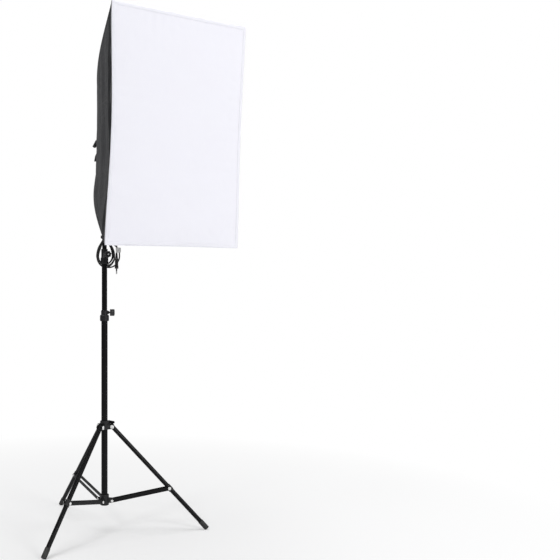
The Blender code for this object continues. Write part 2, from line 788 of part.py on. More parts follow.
def cloth_panel(frame, name, across, up):
    """One side of the black box, between two ribs. It is drawn in a little at its middle."""
    diagonal = math.hypot(HALF_W, HALF_H)
    upright = across != 0
    reach, side = (HALF_H, HALF_W) if upright else (HALF_W, HALF_H)
    trim = 0.0036 if upright else 0.0
    first = shell_start()
    bm = bmesh.new()
    bmesh.ops.create_grid(bm, x_segments=12, y_segments=6, size=1.0)
    for vert in bm.verts:
        t = first + (SHELL_END - first) * (vert.co.x + 1) / 2
        s = vert.co.y
        away, forward = rib_arc(t)
        sag = (EDGE_BOW + (SIDE_SAG - EDGE_BOW) * math.sin(math.pi * t)) * (1 - s * s) ** 2
        along = s * (away * reach / diagonal - trim)
        out = away * side / diagonal - sag * min(1.0, t * 5)
        vert.co = (across * out, -forward, along) if upright else (along, -forward, up * out)
    if across > 0 or up < 0:
        bmesh.ops.reverse_faces(bm, faces=bm.faces)
    made = mesh_object(name, bm, "black_cloth", smooth=60)
    made.parent = frame["head"]
    thick = made.modifiers.new("cloth thickness", "SOLIDIFY")
    thick.thickness = CLOTH
    thick.offset = -1
    thick.use_even_offset = True


def front_diffuser(frame):
    """The white front cloth. Its edges bow inward between the rib tips."""
    outline = []
    for (x0, y0), (x1, y1), (nx, ny) in (
        ((-HALF_W, -HALF_H), (HALF_W, -HALF_H), (0, 1)), ((HALF_W, -HALF_H), (HALF_W, HALF_H), (-1, 0)),
        ((HALF_W, HALF_H), (-HALF_W, HALF_H), (0, -1)), ((-HALF_W, HALF_H), (-HALF_W, -HALF_H), (1, 0)),
    ):
        for i in range(10):
            s = 2 * i / 10 - 1
            bow = EDGE_BOW * (1 - s * s) ** 2
            outline.append((x0 + (x1 - x0) * i / 10 + nx * bow, y0 + (y1 - y0) * i / 10 + ny * bow))
    made = plate("front_diffuser", [outline], CLOTH / 2, "white_cloth")
    place(made, frame["head"], (0, -(FRONT + GAP + CLOTH / 2), 0), (math.pi / 2, 0, 0))


# ---- Mains lead ----
# Places in the hank's own frame: X across, Y behind the column, Z up.
HANK_AZIMUTH = -32.0
HANK_FRONT, HANK_BACK = 0.0150, 0.0410
LEAD_POINTS = [  # in the stand's frame, from inside the strain relief to the hank
    (0.0000, 0.0181, 1.3397), (0.0000, 0.0293, 1.3298), (0.0000, 0.0378, 1.3212), (0.0000, 0.0428, 1.3090),
    (0.0002, 0.0440, 1.2940), (0.0010, 0.0436, 1.2700), (0.0030, 0.0420, 1.2300), (0.0070, 0.0390, 1.1800),
    (0.0115, 0.0365, 1.1350), (0.0150, 0.0352, 1.1000),
]
TAIL_POINTS = [  # in the hank's frame, from the hank to the plug
    (0.0046, 0.0122, 1.0345), (0.0068, 0.0116, 1.0490), (0.0134, 0.0098, 1.0560), (0.0230, 0.0068, 1.0588),
    (0.0328, 0.0034, 1.0562), (0.0399, 0.0000, 1.0490), (0.0423, -0.0024, 1.0370), (0.0425, -0.0040, 1.0180),
    (0.0425, -0.0040, 0.9920), (0.0425, -0.0040, 0.9650),
]
HANK_OUTLINE = [  # (across, up), round the outermost turn
    (0.0000, 1.0835), (-0.0146, 1.0770), (-0.0196, 1.0630), (-0.0140, 1.0430), (-0.0078, 1.0300),
    (-0.0078, 1.0160), (-0.0150, 1.0000), (-0.0275, 0.9780), (-0.0300, 0.9540), (-0.0190, 0.9300),
    (0.0050, 0.9140), (0.0300, 0.9160), (0.0490, 0.9330), (0.0550, 0.9600), (0.0440, 0.9860),
    (0.0200, 1.0020),
    (0.0078, 1.0160), (0.0078, 1.0300), (0.0140, 1.0430), (0.0196, 1.0630), (0.0146, 1.0770),
]
PLUG_X, PLUG_Y, PLUG_TOP = 0.0425, -0.0040, 0.9670


def hank_frame(frame):
    return empty("hank_frame", frame["stand"], (0, 0, 0), (0, 0, math.radians(HANK_AZIMUTH)))


def upright_plate(name, outlines, front, back, home, finish):
    """A flat piece in the XZ plane, between two Y values. Outlines are (x, z) points."""
    made = plate(name, outlines, (back - front) / 2, finish)
    return place(made, home, (0, (front + back) / 2, 0), (math.pi / 2, 0, 0))


def closed_line(points, spacing):
    """Evenly spaced points on a smooth closed curve."""
    wrapped = [(x, y, 0) for x, y in [*points[-2:], *points, *points[:3]]]
    line = smooth_line(wrapped, spacing)
    half = len(line) // 2
    seam = Vector(wrapped[2])
    first = min(range(half), key=lambda i: (line[i] - seam).length)
    last = min(range(half, len(line)), key=lambda i: (line[i] - seam).length)
    return [(p.x, p.y) for p in line[first:last]]


def cord(frame):
    """The free lead, its hank behind the column, the strap, the plug and a blank tag."""
    home = hank_frame(frame)
    lead = rod("cord_lead", smooth_line(LEAD_POINTS, 0.0110), CORD_R, "cord_black")
    lead.parent = frame["stand"]
    upright_plate("cord_hank", [closed_line(HANK_OUTLINE, 0.009)], HANK_FRONT, HANK_BACK, home, "cord_black")
    tail = rod("cord_tail", smooth_line(TAIL_POINTS, 0.0100), CORD_R, "cord_black")
    tail.parent = home
    strap(home)
    plug(home)
    near, far = PLUG_X + 0.0030, PLUG_X + 0.0155
    tag = box("cord_tag", (near, PLUG_Y - 0.0004, 0.9680), (far, PLUG_Y + 0.0004, 0.9860), "label_grey")
    tag.parent = home


def strap(home):
    """A hook-and-loop strap round the hank's waist and the column."""
    half, front, back, thick = 0.0106, -0.0088, HANK_BACK + 0.0012, 0.0014

    def loop(grow):
        x, y0, y1, corner = half + grow, front - grow, back + grow, 0.0050 + grow
        return [
            *arc((x - corner, y1 - corner), corner, 0, 90, 5),
            *arc((-x + corner, y1 - corner), corner, 90, 180, 5),
            *arc((-x + corner, y0 + corner), corner, 180, 270, 5),
            *arc((x - corner, y0 + corner), corner, 270, 360, 5),
        ]

    band = plate("cord_strap", [loop(thick), loop(0)], 0.0050, "black_cloth")
    place(band, home, (0, 0, TIE_Z))


def plug(home):
    """A flat two-pin plug that hangs with its pins down."""
    body_long, sleeve_long = 0.0370, 0.0180
    outline = [
        (-0.0050, 0), (-0.0130, -0.0100), (-0.0130, -body_long + 0.0040), (-0.0110, -body_long),
        (0.0110, -body_long), (0.0130, -body_long + 0.0040), (0.0130, -0.0100), (0.0050, 0),
    ]
    top = PLUG_TOP - sleeve_long
    body = plate("plug_body", [outline], 0.0066, "black_plastic")
    place(body, home, (PLUG_X, PLUG_Y, top), (math.pi / 2, 0, math.pi / 2))
    body = soften(as_mesh(body), 0.0018)
    relief = turned(
        "plug_relief",
        [
            (0, 0.0006), (0.0032, 0.0006), (0.0036, 0),
            (0.0050, -sleeve_long - 0.002), (0, -sleeve_long - 0.002),
        ],
        "black_plastic", steps=20,
    )
    place(relief, home, (PLUG_X, PLUG_Y, PLUG_TOP - GAP - 0.0006))
    bore = cylinder(
        "plug_bore", CORD_R + GAP, (PLUG_X, PLUG_Y, PLUG_TOP - 0.0060),
        (PLUG_X, PLUG_Y, PLUG_TOP + 0.01), sides=16,
    )
    bore.parent = home
    join(body, relief)
    cut(body, bore)
    for sign in (-1, 1):
        start = Vector((PLUG_X, PLUG_Y + sign * 0.0095, top - body_long + 0.0020))
        pin = cylinder(f"pin_{sign}", 0.0020, start, start - Vector((0, 0, 0.0210)), sides=14)
        pin.parent = home
        join(body, pin)


# ---- Assembly ----
def build():
    frame = make_frame()
    column(frame)
    clamps(frame)
    bottom_hub(frame)
    leg_collar(frame)
    collar_wing(frame)
    for side in LEG_AZIMUTHS:
        leg(frame, side)
        brace(frame, side)
    tilt_yoke(frame)
    levers(frame)
    lamp_holder(frame)
    cable_gland(frame)
    lamp(frame)
    rod_hub(frame)
    ribs(frame)
    for name, across, up in (
        ("panel_left", -1, 0), ("panel_right", 1, 0), ("panel_top", 0, 1), ("panel_bottom", 0, -1),
    ):
        cloth_panel(frame, name, across, up)
    front_diffuser(frame)
    cord(frame)


clear_scene()
PARTS = collection("studio_softbox")
CUTTERS = collection("cutters")
build()
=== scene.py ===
"""Looks of the studio softbox: sewn cloth, mains lead, small parts, materials, studio light and camera.

Metres, in the CAD frame. The softbox faces -Y and the origin is on the floor.
"""

import math

import bmesh
import bpy
from mathutils import Matrix, Vector, noise


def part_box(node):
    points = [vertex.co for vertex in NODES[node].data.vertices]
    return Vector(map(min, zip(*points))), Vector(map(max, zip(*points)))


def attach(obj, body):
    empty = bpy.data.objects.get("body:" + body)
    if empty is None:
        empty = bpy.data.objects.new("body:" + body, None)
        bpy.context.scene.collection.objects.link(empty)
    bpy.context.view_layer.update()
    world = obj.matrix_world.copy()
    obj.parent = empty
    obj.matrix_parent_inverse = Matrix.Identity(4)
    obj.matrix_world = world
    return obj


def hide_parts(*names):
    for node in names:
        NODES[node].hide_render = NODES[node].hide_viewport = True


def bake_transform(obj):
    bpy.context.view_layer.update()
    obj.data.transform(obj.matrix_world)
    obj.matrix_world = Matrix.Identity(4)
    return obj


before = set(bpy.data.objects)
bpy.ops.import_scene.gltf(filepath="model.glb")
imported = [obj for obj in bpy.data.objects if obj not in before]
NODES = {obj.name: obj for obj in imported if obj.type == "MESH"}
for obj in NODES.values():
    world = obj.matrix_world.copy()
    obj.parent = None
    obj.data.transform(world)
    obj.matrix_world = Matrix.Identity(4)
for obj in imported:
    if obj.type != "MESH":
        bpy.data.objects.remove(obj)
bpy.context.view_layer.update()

# ---- Dimensions shared with the CAD ----
tube_low, tube_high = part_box("upper_tube")
COLUMN = Vector(((tube_low.x + tube_high.x) / 2, (tube_low.y + tube_high.y) / 2, 0))
LEG_AZIMUTHS = {"a": -32.0, "b": 88.0, "c": 208.0}
TILT_Z, PITCH = 1.3530, math.radians(3.4)
HALF_W, HALF_H, FRONT = 0.2450, 0.3500, 0.4515
RIB_START_R, RIB_START, RIB_SAGITTA, RIB_SKEW = 0.0350, 0.0500, 0.0510, 0.49
SIDE_SAG, SHELL_START_R, SHELL_END = 0.0070, 0.0470, 0.998
RIVET_OUT, RIVET_ACROSS, RIVET_UP = 0.22735, 0.01155, 0.14485
CORD_R, TIE_Z, HANK_AZIMUTH = 0.0025, 1.0230, math.radians(-32.0)
PLUG_X, PLUG_Y, PLUG_TOP = 0.0425, -0.0040, 0.9670

HEAD = Matrix.Translation(COLUMN + Vector((0, 0, TILT_Z))) @ Matrix.Rotation(PITCH, 4, "X")
STAND = Matrix.Translation(COLUMN)
HANK = STAND @ Matrix.Rotation(HANK_AZIMUTH, 4, "Z")


# ---- Camera ----
def make_camera():
    """Level, a little below the middle of the object, to its left front."""
    data = bpy.data.cameras.new("camera")
    data.sensor_width = 36.0
    data.lens = 53.13
    data.shift_x, data.shift_y = 0.2589, -0.0066
    data.clip_end = 60.0
    camera = bpy.data.objects.new("camera", data)
    bpy.context.scene.collection.objects.link(camera)
    camera.location = COLUMN + Vector((-1.4424, -2.5101, 0.8854))
    camera.rotation_euler = (math.radians(90.0), 0, math.radians(-32.0))
    bpy.context.scene.camera = camera


make_camera()


# ---- Node materials ----
class Shade:
    """A small builder for one Principled material."""

    def __init__(self, name, colour, roughness, metallic=0.0, **constant):
        self.material = bpy.data.materials.new(name)
        self.material.use_nodes = True
        self.tree = self.material.node_tree
        self.shader = self.tree.nodes["Principled BSDF"]
        self.shader.inputs["Base Color"].default_value = (*colour, 1)
        self.shader.inputs["Roughness"].default_value = roughness
        self.shader.inputs["Metallic"].default_value = metallic
        for socket, value in constant.items():
            self.shader.inputs[socket.replace("_", " ")].default_value = value
        self.place = self.add("ShaderNodeTexCoord").outputs["Object"]
        self.flat = None
        self.height = None

    def add(self, kind, inputs=None, **settings):
        node = self.tree.nodes.new(kind)
        for key, value in settings.items():
            setattr(node, key, value)
        for key, value in (inputs or {}).items():
            if isinstance(value, bpy.types.NodeSocket):
                self.tree.links.new(value, node.inputs[key])
            else:
                node.inputs[key].default_value = value
        return node

    def uv(self):
        if self.flat is None:
            self.flat = self.add("ShaderNodeTexCoord").outputs["UV"]
        return self.flat

    def stretched(self, scale, where=None):
        return self.add("ShaderNodeMapping", {"Vector": where or self.place, "Scale": scale}).outputs[0]

    def noise(self, scale, detail=3.0, rough=0.55, where=None):
        return self.add(
            "ShaderNodeTexNoise",
            {"Vector": where or self.place, "Scale": scale, "Detail": detail, "Roughness": rough},
        ).outputs["Fac"]

    def span(self, value, low, high, to_low=0.0, to_high=1.0):
        return self.add(
            "ShaderNodeMapRange",
            {"Value": value, "From Min": low, "From Max": high, "To Min": to_low, "To Max": to_high},
        ).outputs[0]

    def math(self, operation, a, b=0.0):
        return self.add("ShaderNodeMath", {0: a, 1: b}, operation=operation).outputs[0]

    def mix(self, factor, a, b):
        sockets = {"Factor": factor, "A": a, "B": b}
        node = self.add("ShaderNodeMix", data_type="RGBA")
        for key, value in sockets.items():
            socket = next(s for s in node.inputs if s.name == key and s.type == (
                "VALUE" if key == "Factor" else "RGBA"
            ))
            if isinstance(value, bpy.types.NodeSocket):
                self.tree.links.new(value, socket)
            else:
                socket.default_value = value if key == "Factor" else (*value, 1)
        return next(s for s in node.outputs if s.type == "RGBA")

    def colour(self, value):
        self.tree.links.new(value, self.shader.inputs["Base Color"])

    def roughness(self, value):
        self.tree.links.new(value, self.shader.inputs["Roughness"])

    def bump(self, height, distance, strength=1.0):
        """Adds a layer of relief, in metres."""
        inputs = {"Height": height, "Distance": distance, "Strength": strength}
        if self.height:
            inputs["Normal"] = self.height
        self.height = self.add("ShaderNodeBump", inputs).outputs[0]
        self.tree.links.new(self.height, self.shader.inputs["Normal"])


def coated_metal(name, base, worn, roughness, lengthwise=False):
    """Satin powder coat: fine orange peel, faint blotches, and rub marks along a sliding tube."""
    shade = Shade(name, base, roughness, Specular_IOR_Level=0.11, Coat_Weight=0.02, Coat_Roughness=0.25)
    blotch = shade.noise(28.0)
    shade.roughness(shade.span(blotch, 0.3, 0.7, roughness - 0.06, roughness + 0.08))
    scale = (420.0, 420.0, 5.0) if lengthwise else (60.0, 60.0, 60.0)
    marks = shade.noise(1.0, 2.0, 0.6, shade.stretched(scale))
    amount = shade.span(marks, 0.62, 0.78, 0.0, 0.35 if lengthwise else 0.15)
    shade.colour(shade.mix(amount, base, worn))
    shade.bump(shade.noise(1400.0, 2.0), 0.00004)
    shade.bump(shade.noise(320.0, 2.0), 0.00003)
    return shade.material


def moulded(
    name, base, roughness, grain=1800.0, depth=0.00005, dust=0.10, light=(0.075, 0.075, 0.078), **constant,
):
    """Moulded plastic: spark-eroded grain, flow blotches and a little dust."""
    shade = Shade(name, base, roughness, **constant)
    shade.roughness(shade.span(shade.noise(45.0), 0.3, 0.7, roughness - 0.07, roughness + 0.09))
    amount = shade.span(shade.noise(90.0, 6.0, 0.7), 0.52, 0.80, 0.0, dust)
    shade.colour(shade.mix(amount, base, light))
    shade.bump(shade.noise(grain, 2.0), depth)
    shade.bump(shade.noise(160.0, 2.0), depth * 0.8)
    return shade.material


def woven(name, warp, weft, pitch, roughness, depth, blotch=0.12, crumple=0.0, **constant):
    """Plain weave on UVs in metres. Warp and weft pass over each other in turn."""
    shade = Shade(name, warp, roughness, **constant)
    split = shade.add("ShaderNodeSeparateXYZ", {0: shade.uv()})
    waves = []
    for axis in (0, 1):
        turn = shade.math("MULTIPLY", split.outputs[axis], math.pi / pitch)
        waves.append(shade.math("ABSOLUTE", shade.math("SINE", turn)))
    over = shade.add("ShaderNodeTexChecker", {"Vector": shade.uv(), "Scale": 1.0 / pitch}).outputs["Fac"]
    lift = shade.add("ShaderNodeMix", {"Factor": over, 2: waves[0], 3: waves[1]}).outputs[0]
    spread = shade.noise(9.0, 4.0)
    colour = shade.mix(over, warp, weft)
    dark = tuple(c * (1.0 - blotch) for c in warp)
    colour = shade.mix(shade.span(spread, 0.35, 0.70, 0.0, 0.8), colour, dark)
    slub = shade.noise(1.0, 2.0, 0.5, shade.stretched((900.0, 30.0, 1.0), shade.uv()))
    shade.colour(
        shade.mix(shade.span(slub, 0.58, 0.80, 0.0, 0.30), colour, tuple(min(1, c * 1.25) for c in weft)),
    )
    shade.roughness(shade.span(shade.noise(60.0), 0.3, 0.7, roughness - 0.06, roughness + 0.06))
    shade.bump(lift, depth)
    if crumple:
        shade.bump(shade.noise(22.0, 4.0, 0.6), crumple)
    return shade.material


def ribbed_tape(name, base, light, pitch, depth):
    """Woven tape with cross ribs, on UVs in metres."""
    shade = Shade(name, base, 0.75, Sheen_Weight=0.25, Sheen_Roughness=0.5)
    split = shade.add("ShaderNodeSeparateXYZ", {0: shade.uv()})
    rib = shade.math(
        "ABSOLUTE", shade.math("SINE", shade.math("MULTIPLY", split.outputs[1], math.pi / pitch)),
    )
    shade.colour(shade.mix(shade.span(shade.noise(240.0), 0.4, 0.75, 0.0, 0.6), base, light))
    shade.bump(rib, depth)
    shade.bump(shade.noise(900.0), depth * 0.5)
    return shade.material


def bright(name, colour, roughness, scale=(40.0, 40.0, 900.0)):
    """Plated metal with fine turning marks."""
    shade = Shade(name, colour, roughness, 1.0)
    marks = shade.noise(1.0, 2.0, 0.5, shade.stretched(scale))
    shade.roughness(shade.span(marks, 0.3, 0.7, roughness - 0.06, roughness + 0.10))
    dull = tuple(c * 0.82 for c in colour)
    shade.colour(shade.mix(shade.span(shade.noise(70.0), 0.45, 0.75), colour, dull))
    shade.bump(marks, 0.00001)
    return shade.material


def opal(name):
    shade = Shade(name, (0.90, 0.90, 0.87), 0.22, Coat_Weight=0.5, Coat_Roughness=0.08)
    shade.colour(shade.mix(shade.span(shade.noise(14.0), 0.3, 0.7), (0.90, 0.90, 0.87), (0.86, 0.86, 0.84)))
    shade.bump(shade.noise(260.0), 0.00002)
    return shade.material


def fibre_rod(name):
    """Pultruded rod: long fibres under a thin skin."""
    shade = Shade(name, (0.020, 0.020, 0.022), 0.38)
    fibres = shade.noise(1.0, 3.0, 0.6, shade.stretched((900.0, 900.0, 20.0)))
    shade.colour(shade.mix(shade.span(fibres, 0.5, 0.8), (0.018, 0.018, 0.020), (0.070, 0.070, 0.072)))
    shade.bump(fibres, 0.00004)
    return shade.material


def hook_and_loop(name):
    shade = Shade(name, (0.012, 0.012, 0.013), 0.95, Sheen_Weight=0.6, Sheen_Roughness=0.4)
    fuzz = shade.noise(1500.0, 6.0, 0.8)
    shade.colour(shade.mix(shade.span(fuzz, 0.45, 0.75), (0.008, 0.008, 0.009), (0.040, 0.040, 0.042)))
    shade.bump(fuzz, 0.0004)
    return shade.material


def paper(name):
    shade = Shade(name, (0.62, 0.62, 0.61), 0.62)
    fibres = shade.noise(700.0, 6.0, 0.7)
    shade.colour(shade.mix(shade.span(fibres, 0.4, 0.7, 0.0, 0.5), (0.64, 0.64, 0.63), (0.52, 0.52, 0.50)))
    shade.bump(fibres, 0.00004)
    return shade.material


def studio_floor():
    """Pale floor that fades into the white sweep behind it."""
    shade = Shade("studio_floor", (0.93, 0.93, 0.935), 0.70)
    tree = shade.material.node_tree
    place = shade.add("ShaderNodeNewGeometry").outputs["Position"]
    far = shade.add("ShaderNodeVectorMath", operation="LENGTH")
    tree.links.new(place, far.inputs[0])
    fade = shade.span(far.outputs["Value"], 0.5, 1.8, 0.35, 1.0)
    fade = shade.math("MULTIPLY", fade, shade.add("ShaderNodeLightPath").outputs["Is Camera Ray"])
    glow = shade.add("ShaderNodeEmission", {"Strength": 1.0})
    mix = shade.add("ShaderNodeMixShader")
    tree.links.new(fade, mix.inputs[0])
    tree.links.new(shade.shader.outputs[0], mix.inputs[1])
    tree.links.new(glow.outputs[0], mix.inputs[2])
    tree.links.new(mix.outputs[0], tree.nodes["Material Output"].inputs["Surface"])
    return shade.material


MAT = {
    "tube": coated_metal("tube_coat", (0.005, 0.005, 0.0055), (0.030, 0.030, 0.032), 0.30),
    "sliding": coated_metal("sliding_tube_coat", (0.006, 0.006, 0.0065), (0.060, 0.060, 0.062), 0.24, True),
    "bar": coated_metal("bar_coat", (0.008, 0.008, 0.0085), (0.070, 0.070, 0.070), 0.34),
    "plastic": moulded("moulded_black", (0.008, 0.008, 0.009), 0.42, Specular_IOR_Level=0.35),
    "soft_black": moulded("knob_black", (0.016, 0.016, 0.017), 0.52, 1200.0, 0.00008, 0.18),
    "foot_black": moulded(
        "foot_black", (0.014, 0.014, 0.014), 0.60, 900.0, 0.00008, 0.35, (0.13, 0.125, 0.12),
    ),
    "socket_black": moulded("socket_black", (0.014, 0.013, 0.013), 0.28, 1500.0, 0.00003),
    "rivet": moulded("rivet_white", (0.80, 0.80, 0.79), 0.36, 1500.0, 0.00003, 0.5, (0.62, 0.62, 0.60)),
    "cord": moulded("cord_sheath", (0.013, 0.013, 0.013), 0.40, 1400.0, 0.00003, 0.12),
    "bright": bright("bright_metal", (0.66, 0.66, 0.67), 0.22),
    "pin": bright("plug_pin", (0.60, 0.60, 0.60), 0.28, (500.0, 500.0, 30.0)),
    "bulb": opal("bulb_opal"),
    "rod": fibre_rod("glass_fibre"),
    "nylon": woven(
        "shell_nylon", (0.036, 0.036, 0.040), (0.027, 0.027, 0.030), 0.00055, 0.42, 0.00012, 0.25, 0.0009,
        Sheen_Weight=0.04, Sheen_Roughness=0.45, Specular_IOR_Level=0.45,
    ),
    "hem": woven(
        "hem_nylon", (0.009, 0.009, 0.011), (0.007, 0.007, 0.009), 0.00055, 0.62, 0.00012, 0.25, 0.0004,
        Sheen_Weight=0.02, Sheen_Roughness=0.5, Specular_IOR_Level=0.22,
    ),
    "lining": woven(
        "silver_lining", (0.62, 0.63, 0.64), (0.50, 0.51, 0.52), 0.0012, 0.34, 0.0002, 0.10, 0.0006,
        metallic=0.8,
    ),
    "white": woven(
        "diffuser_cloth", (0.88, 0.875, 0.935), (0.865, 0.862, 0.925), 0.00045, 0.80, 0.00006, 0.012, 0.00035,
        Sheen_Weight=0.10, Sheen_Roughness=0.5,
    ),
    "white_hem": woven(
        "diffuser_hem", (0.875, 0.87, 0.93), (0.86, 0.857, 0.92), 0.00045, 0.82, 0.00008, 0.015, 0.0003,
        Sheen_Weight=0.10, Sheen_Roughness=0.5,
    ),
    "tape": ribbed_tape("binding_tape", (0.010, 0.010, 0.011), (0.030, 0.030, 0.032), 0.0009, 0.00020),
    "strap": hook_and_loop("hook_and_loop"),
    "paper": paper("tag_paper"),
    "thread": moulded("black_thread", (0.060, 0.060, 0.064), 0.60, 2500.0, 0.00008),
    "white_thread": moulded(
        "white_thread", (0.80, 0.80, 0.85), 0.65, 2500.0, 0.00008, 0.2, (0.66, 0.66, 0.70),
    ),
}


# ---- Mesh helpers ----
def make(name, bm, finish, smooth=True, sharp=None):
    data = bpy.data.meshes.new(name)
    bmesh.ops.recalc_face_normals(bm, faces=bm.faces)
    bm.to_mesh(data)
    bm.free()
    for polygon in data.polygons:
        polygon.use_smooth = smooth
    if sharp:
        data.set_sharp_from_angle(angle=math.radians(sharp))
    obj = bpy.data.objects.new(name, data)
    bpy.context.scene.collection.objects.link(obj)
    for each in finish if isinstance(finish, (list, tuple)) else [finish]:
        data.materials.append(MAT[each])
    return obj


def modifier(obj, kind, **settings):
    made = obj.modifiers.new(kind.lower(), kind)
    for key, value in settings.items():
        setattr(made, key, value)
    return made


def dress(names, finish, rounding=0.0005):
    """A CAD node gets its finish, welded smooth sides and slightly rounded edges."""
    for name in names:
        obj = NODES[name]
        data = obj.data
        data.materials.clear()
        data.materials.append(MAT[finish])
        if "custom_normal" in data.attributes:
            data.attributes.remove(data.attributes["custom_normal"])
        for polygon in data.polygons:
            polygon.use_smooth = True
        modifier(obj, "WELD", merge_threshold=0.00002)
        if rounding:
            modifier(
                obj, "BEVEL", width=rounding, segments=2, limit_method="ANGLE", angle_limit=math.radians(40),
                harden_normals=True,
            )
        else:
            modifier(obj, "EDGE_SPLIT", split_angle=math.radians(40))


def spline(points, spacing, closed=False):
    """Evenly spaced points on a smooth curve through the points given."""
    points = [Vector(p) for p in points]
    if closed:
        ends = [points[-1], *points, points[0], points[1]]
    else:
        ends = [points[0] * 2 - points[1], *points, points[-1] * 2 - points[-2]]
    fine = []
    for a, b, c, d in zip(ends, ends[1:], ends[2:], ends[3:]):
        for i in range(24):
            t = i / 24
            fine.append(
                0.5 * (2 * b + (c - a) * t + (
                    2 * a - 5 * b + 4 * c - d
                ) * t * t + (3 * b - a - 3 * c + d) * t ** 3)
            )
    fine.append(points[0] if closed else points[-1])
    total = sum((q - p).length for p, q in zip(fine, fine[1:]))
    count = max(2, round(total / spacing))
    line, walked, target = [fine[0]], 0.0, total / count
    for p, q in zip(fine, fine[1:]):
        step = (q - p).length
        while len(line) < count and walked + step >= target * len(line):
            line.append(p.lerp(q, (target * len(line) - walked) / step))
        walked += step
    return line if closed else [*line, fine[-1]]


def line_length(line):
    return sum((q - p).length for p, q in zip(line, line[1:]))


def sweep(bm, line, outline, closed=False, side=None):
    """A tube with any outline [(across, up)] along a line. UVs in metres: x round it, y along it."""
    layer = bm.loops.layers.uv.verify()
    count, sides = len(line), len(outline)
    ways = []
    for i in range(count):
        before = line[i - 1] if i or closed else line[i]
        after = line[(i + 1) % count] if i < count - 1 or closed else line[i]
        ways.append((after - before).normalized())
    across = (side or ways[0].orthogonal()).normalized()
    rings, walked = [], 0.0
    runs = []
    for i, (place, way) in enumerate(zip(line, ways)):
        if i:
            walked += (place - line[i - 1]).length
        across = (across - way * across.dot(way)).normalized()
        up = way.cross(across)
        rings.append([bm.verts.new(place + across * x + up * y) for x, y in outline])
        runs.append(walked)
    steps = [0.0]
    for (x0, y0), (x1, y1) in zip(outline, [*outline[1:], outline[0]]):
        steps.append(steps[-1] + math.hypot(x1 - x0, y1 - y0))
    pairs = [(i, i + 1) for i in range(count - 1)] + ([(count - 1, 0)] if closed else [])
    for i, j in pairs:
        far = runs[j] if j else walked + (line[0] - line[-1]).length
        for k in range(sides):
            n = (k + 1) % sides
            face = bm.faces.new((rings[i][k], rings[i][n], rings[j][n], rings[j][k]))
            for loop, where in zip(
                face.loops,
                ((steps[k], runs[i]), (steps[k + 1], runs[i]), (steps[k + 1], far), (steps[k], far)),
            ):
                loop[layer].uv = where
    if not closed:
        bm.faces.new(list(reversed(rings[0])))
        bm.faces.new(rings[-1])


def ring(radius, count, squash_to=1.0):
    return [
        (radius * math.cos(2 * math.pi * i / count), radius * squash_to * math.sin(2 * math.pi * i / count))
        for i in range(count)
    ]


def stitches(bm, line, normals, long=0.0040, gap=0.0020, half=0.00038):
    """A row of thread stitches along a line, half sunk into the cloth."""
    walked, target = 0.0, gap
    total = line_length(line)
    marks = []
    i = 0
    while target + long < total:
        ends = []
        for goal in (target, target + long):
            while walked + (line[i + 1] - line[i]).length < goal:
                walked += (line[i + 1] - line[i]).length
                i += 1
            share = (goal - walked) / (line[i + 1] - line[i]).length
            ends.append(
                (line[i].lerp(line[i + 1], share), normals[i].lerp(normals[i + 1], share).normalized()),
            )
        marks.append(ends)
        target += long + gap
    for (start, n0), (end, n1) in marks:
        way = (end - start).normalized()
        up = (n0 + n1).normalized()
        side = way.cross(up).normalized()
        middle = (start + end) / 2
        tips = [bm.verts.new(start - up * half * 0.4), bm.verts.new(end - up * half * 0.4)]
        belts = []
        for share in (-0.30, 0.30):
            centre = middle + way * long * share
            belts.append([
                bm.verts.new(centre + up * half), bm.verts.new(centre + side * half),
                bm.verts.new(centre - up * half), bm.verts.new(centre - side * half),
            ])
        for k in range(4):
            n = (k + 1) % 4
            bm.faces.new((tips[0], belts[0][k], belts[0][n]))
            bm.faces.new((belts[0][k], belts[1][k], belts[1][n], belts[0][n]))
            bm.faces.new((tips[1], belts[1][n], belts[1][k]))


def turned(bm, profile, home, steps=32):
    """A profile of (radius, height) turned about home's Z."""
    rings = []
    for radius, height in profile:
        if radius < 1e-6:
            rings.append([bm.verts.new(home @ Vector((0, 0, height)))])
        else:
            rings.append([
                bm.verts.new(home @ Vector((radius * math.cos(t), radius * math.sin(t), height)))
                for t in (2 * math.pi * i / steps for i in range(steps))
            ])
    for first, second in zip(rings, rings[1:]):
        for k in range(steps):
            n = (k + 1) % steps
            a, b = first[k % len(first)], first[n % len(first)]
            c, d = second[n % len(second)], second[k % len(second)]
            bm.faces.new([v for i, v in enumerate((a, b, c, d)) if v not in (a, b, c, d)[:i]])


# ---- Mains lead ----
LEAD_POINTS = [  # in the stand's frame, from inside the strain relief
    (0.0000, 0.0181, 1.3397), (0.0000, 0.0293, 1.3298), (0.0000, 0.0378, 1.3212), (0.0000, 0.0428, 1.3090),
    (0.0002, 0.0440, 1.2940), (0.0010, 0.0436, 1.2700), (0.0030, 0.0420, 1.2300), (0.0070, 0.0390, 1.1800),
    (0.0115, 0.0365, 1.1350), (0.0150, 0.0352, 1.1000),
]
TAIL_POINTS = [  # in the hank's frame, to the plug
    (0.0046, 0.0140, 1.0370), (0.0068, 0.0116, 1.0490), (0.0134, 0.0098, 1.0560), (0.0230, 0.0068, 1.0588),
    (0.0328, 0.0034, 1.0562), (0.0399, 0.0000, 1.0490), (0.0423, -0.0024, 1.0370), (0.0425, -0.0040, 1.0180),
    (0.0425, -0.0040, 0.9920), (0.0425, -0.0040, 0.9640),
]
# Each turn of the hank: (left reach, right reach, bottom, radius of the upper lobe, its top).
TURNS = (
    (0.0270, 0.0335, 0.9180, 0.0168, 1.0800),
    (0.0225, 0.0520, 0.9165, 0.0170, 1.0790),
    (0.0280, 0.0270, 0.9270, 0.0166, 1.0795),
    (0.0255, 0.0300, 0.9290, 0.0167, 1.0780),
    (0.0220, 0.0345, 0.9235, 0.0166, 1.0775),
)
HANK_BACK_Y, HANK_FRONT_Y = 0.0382, 0.0178


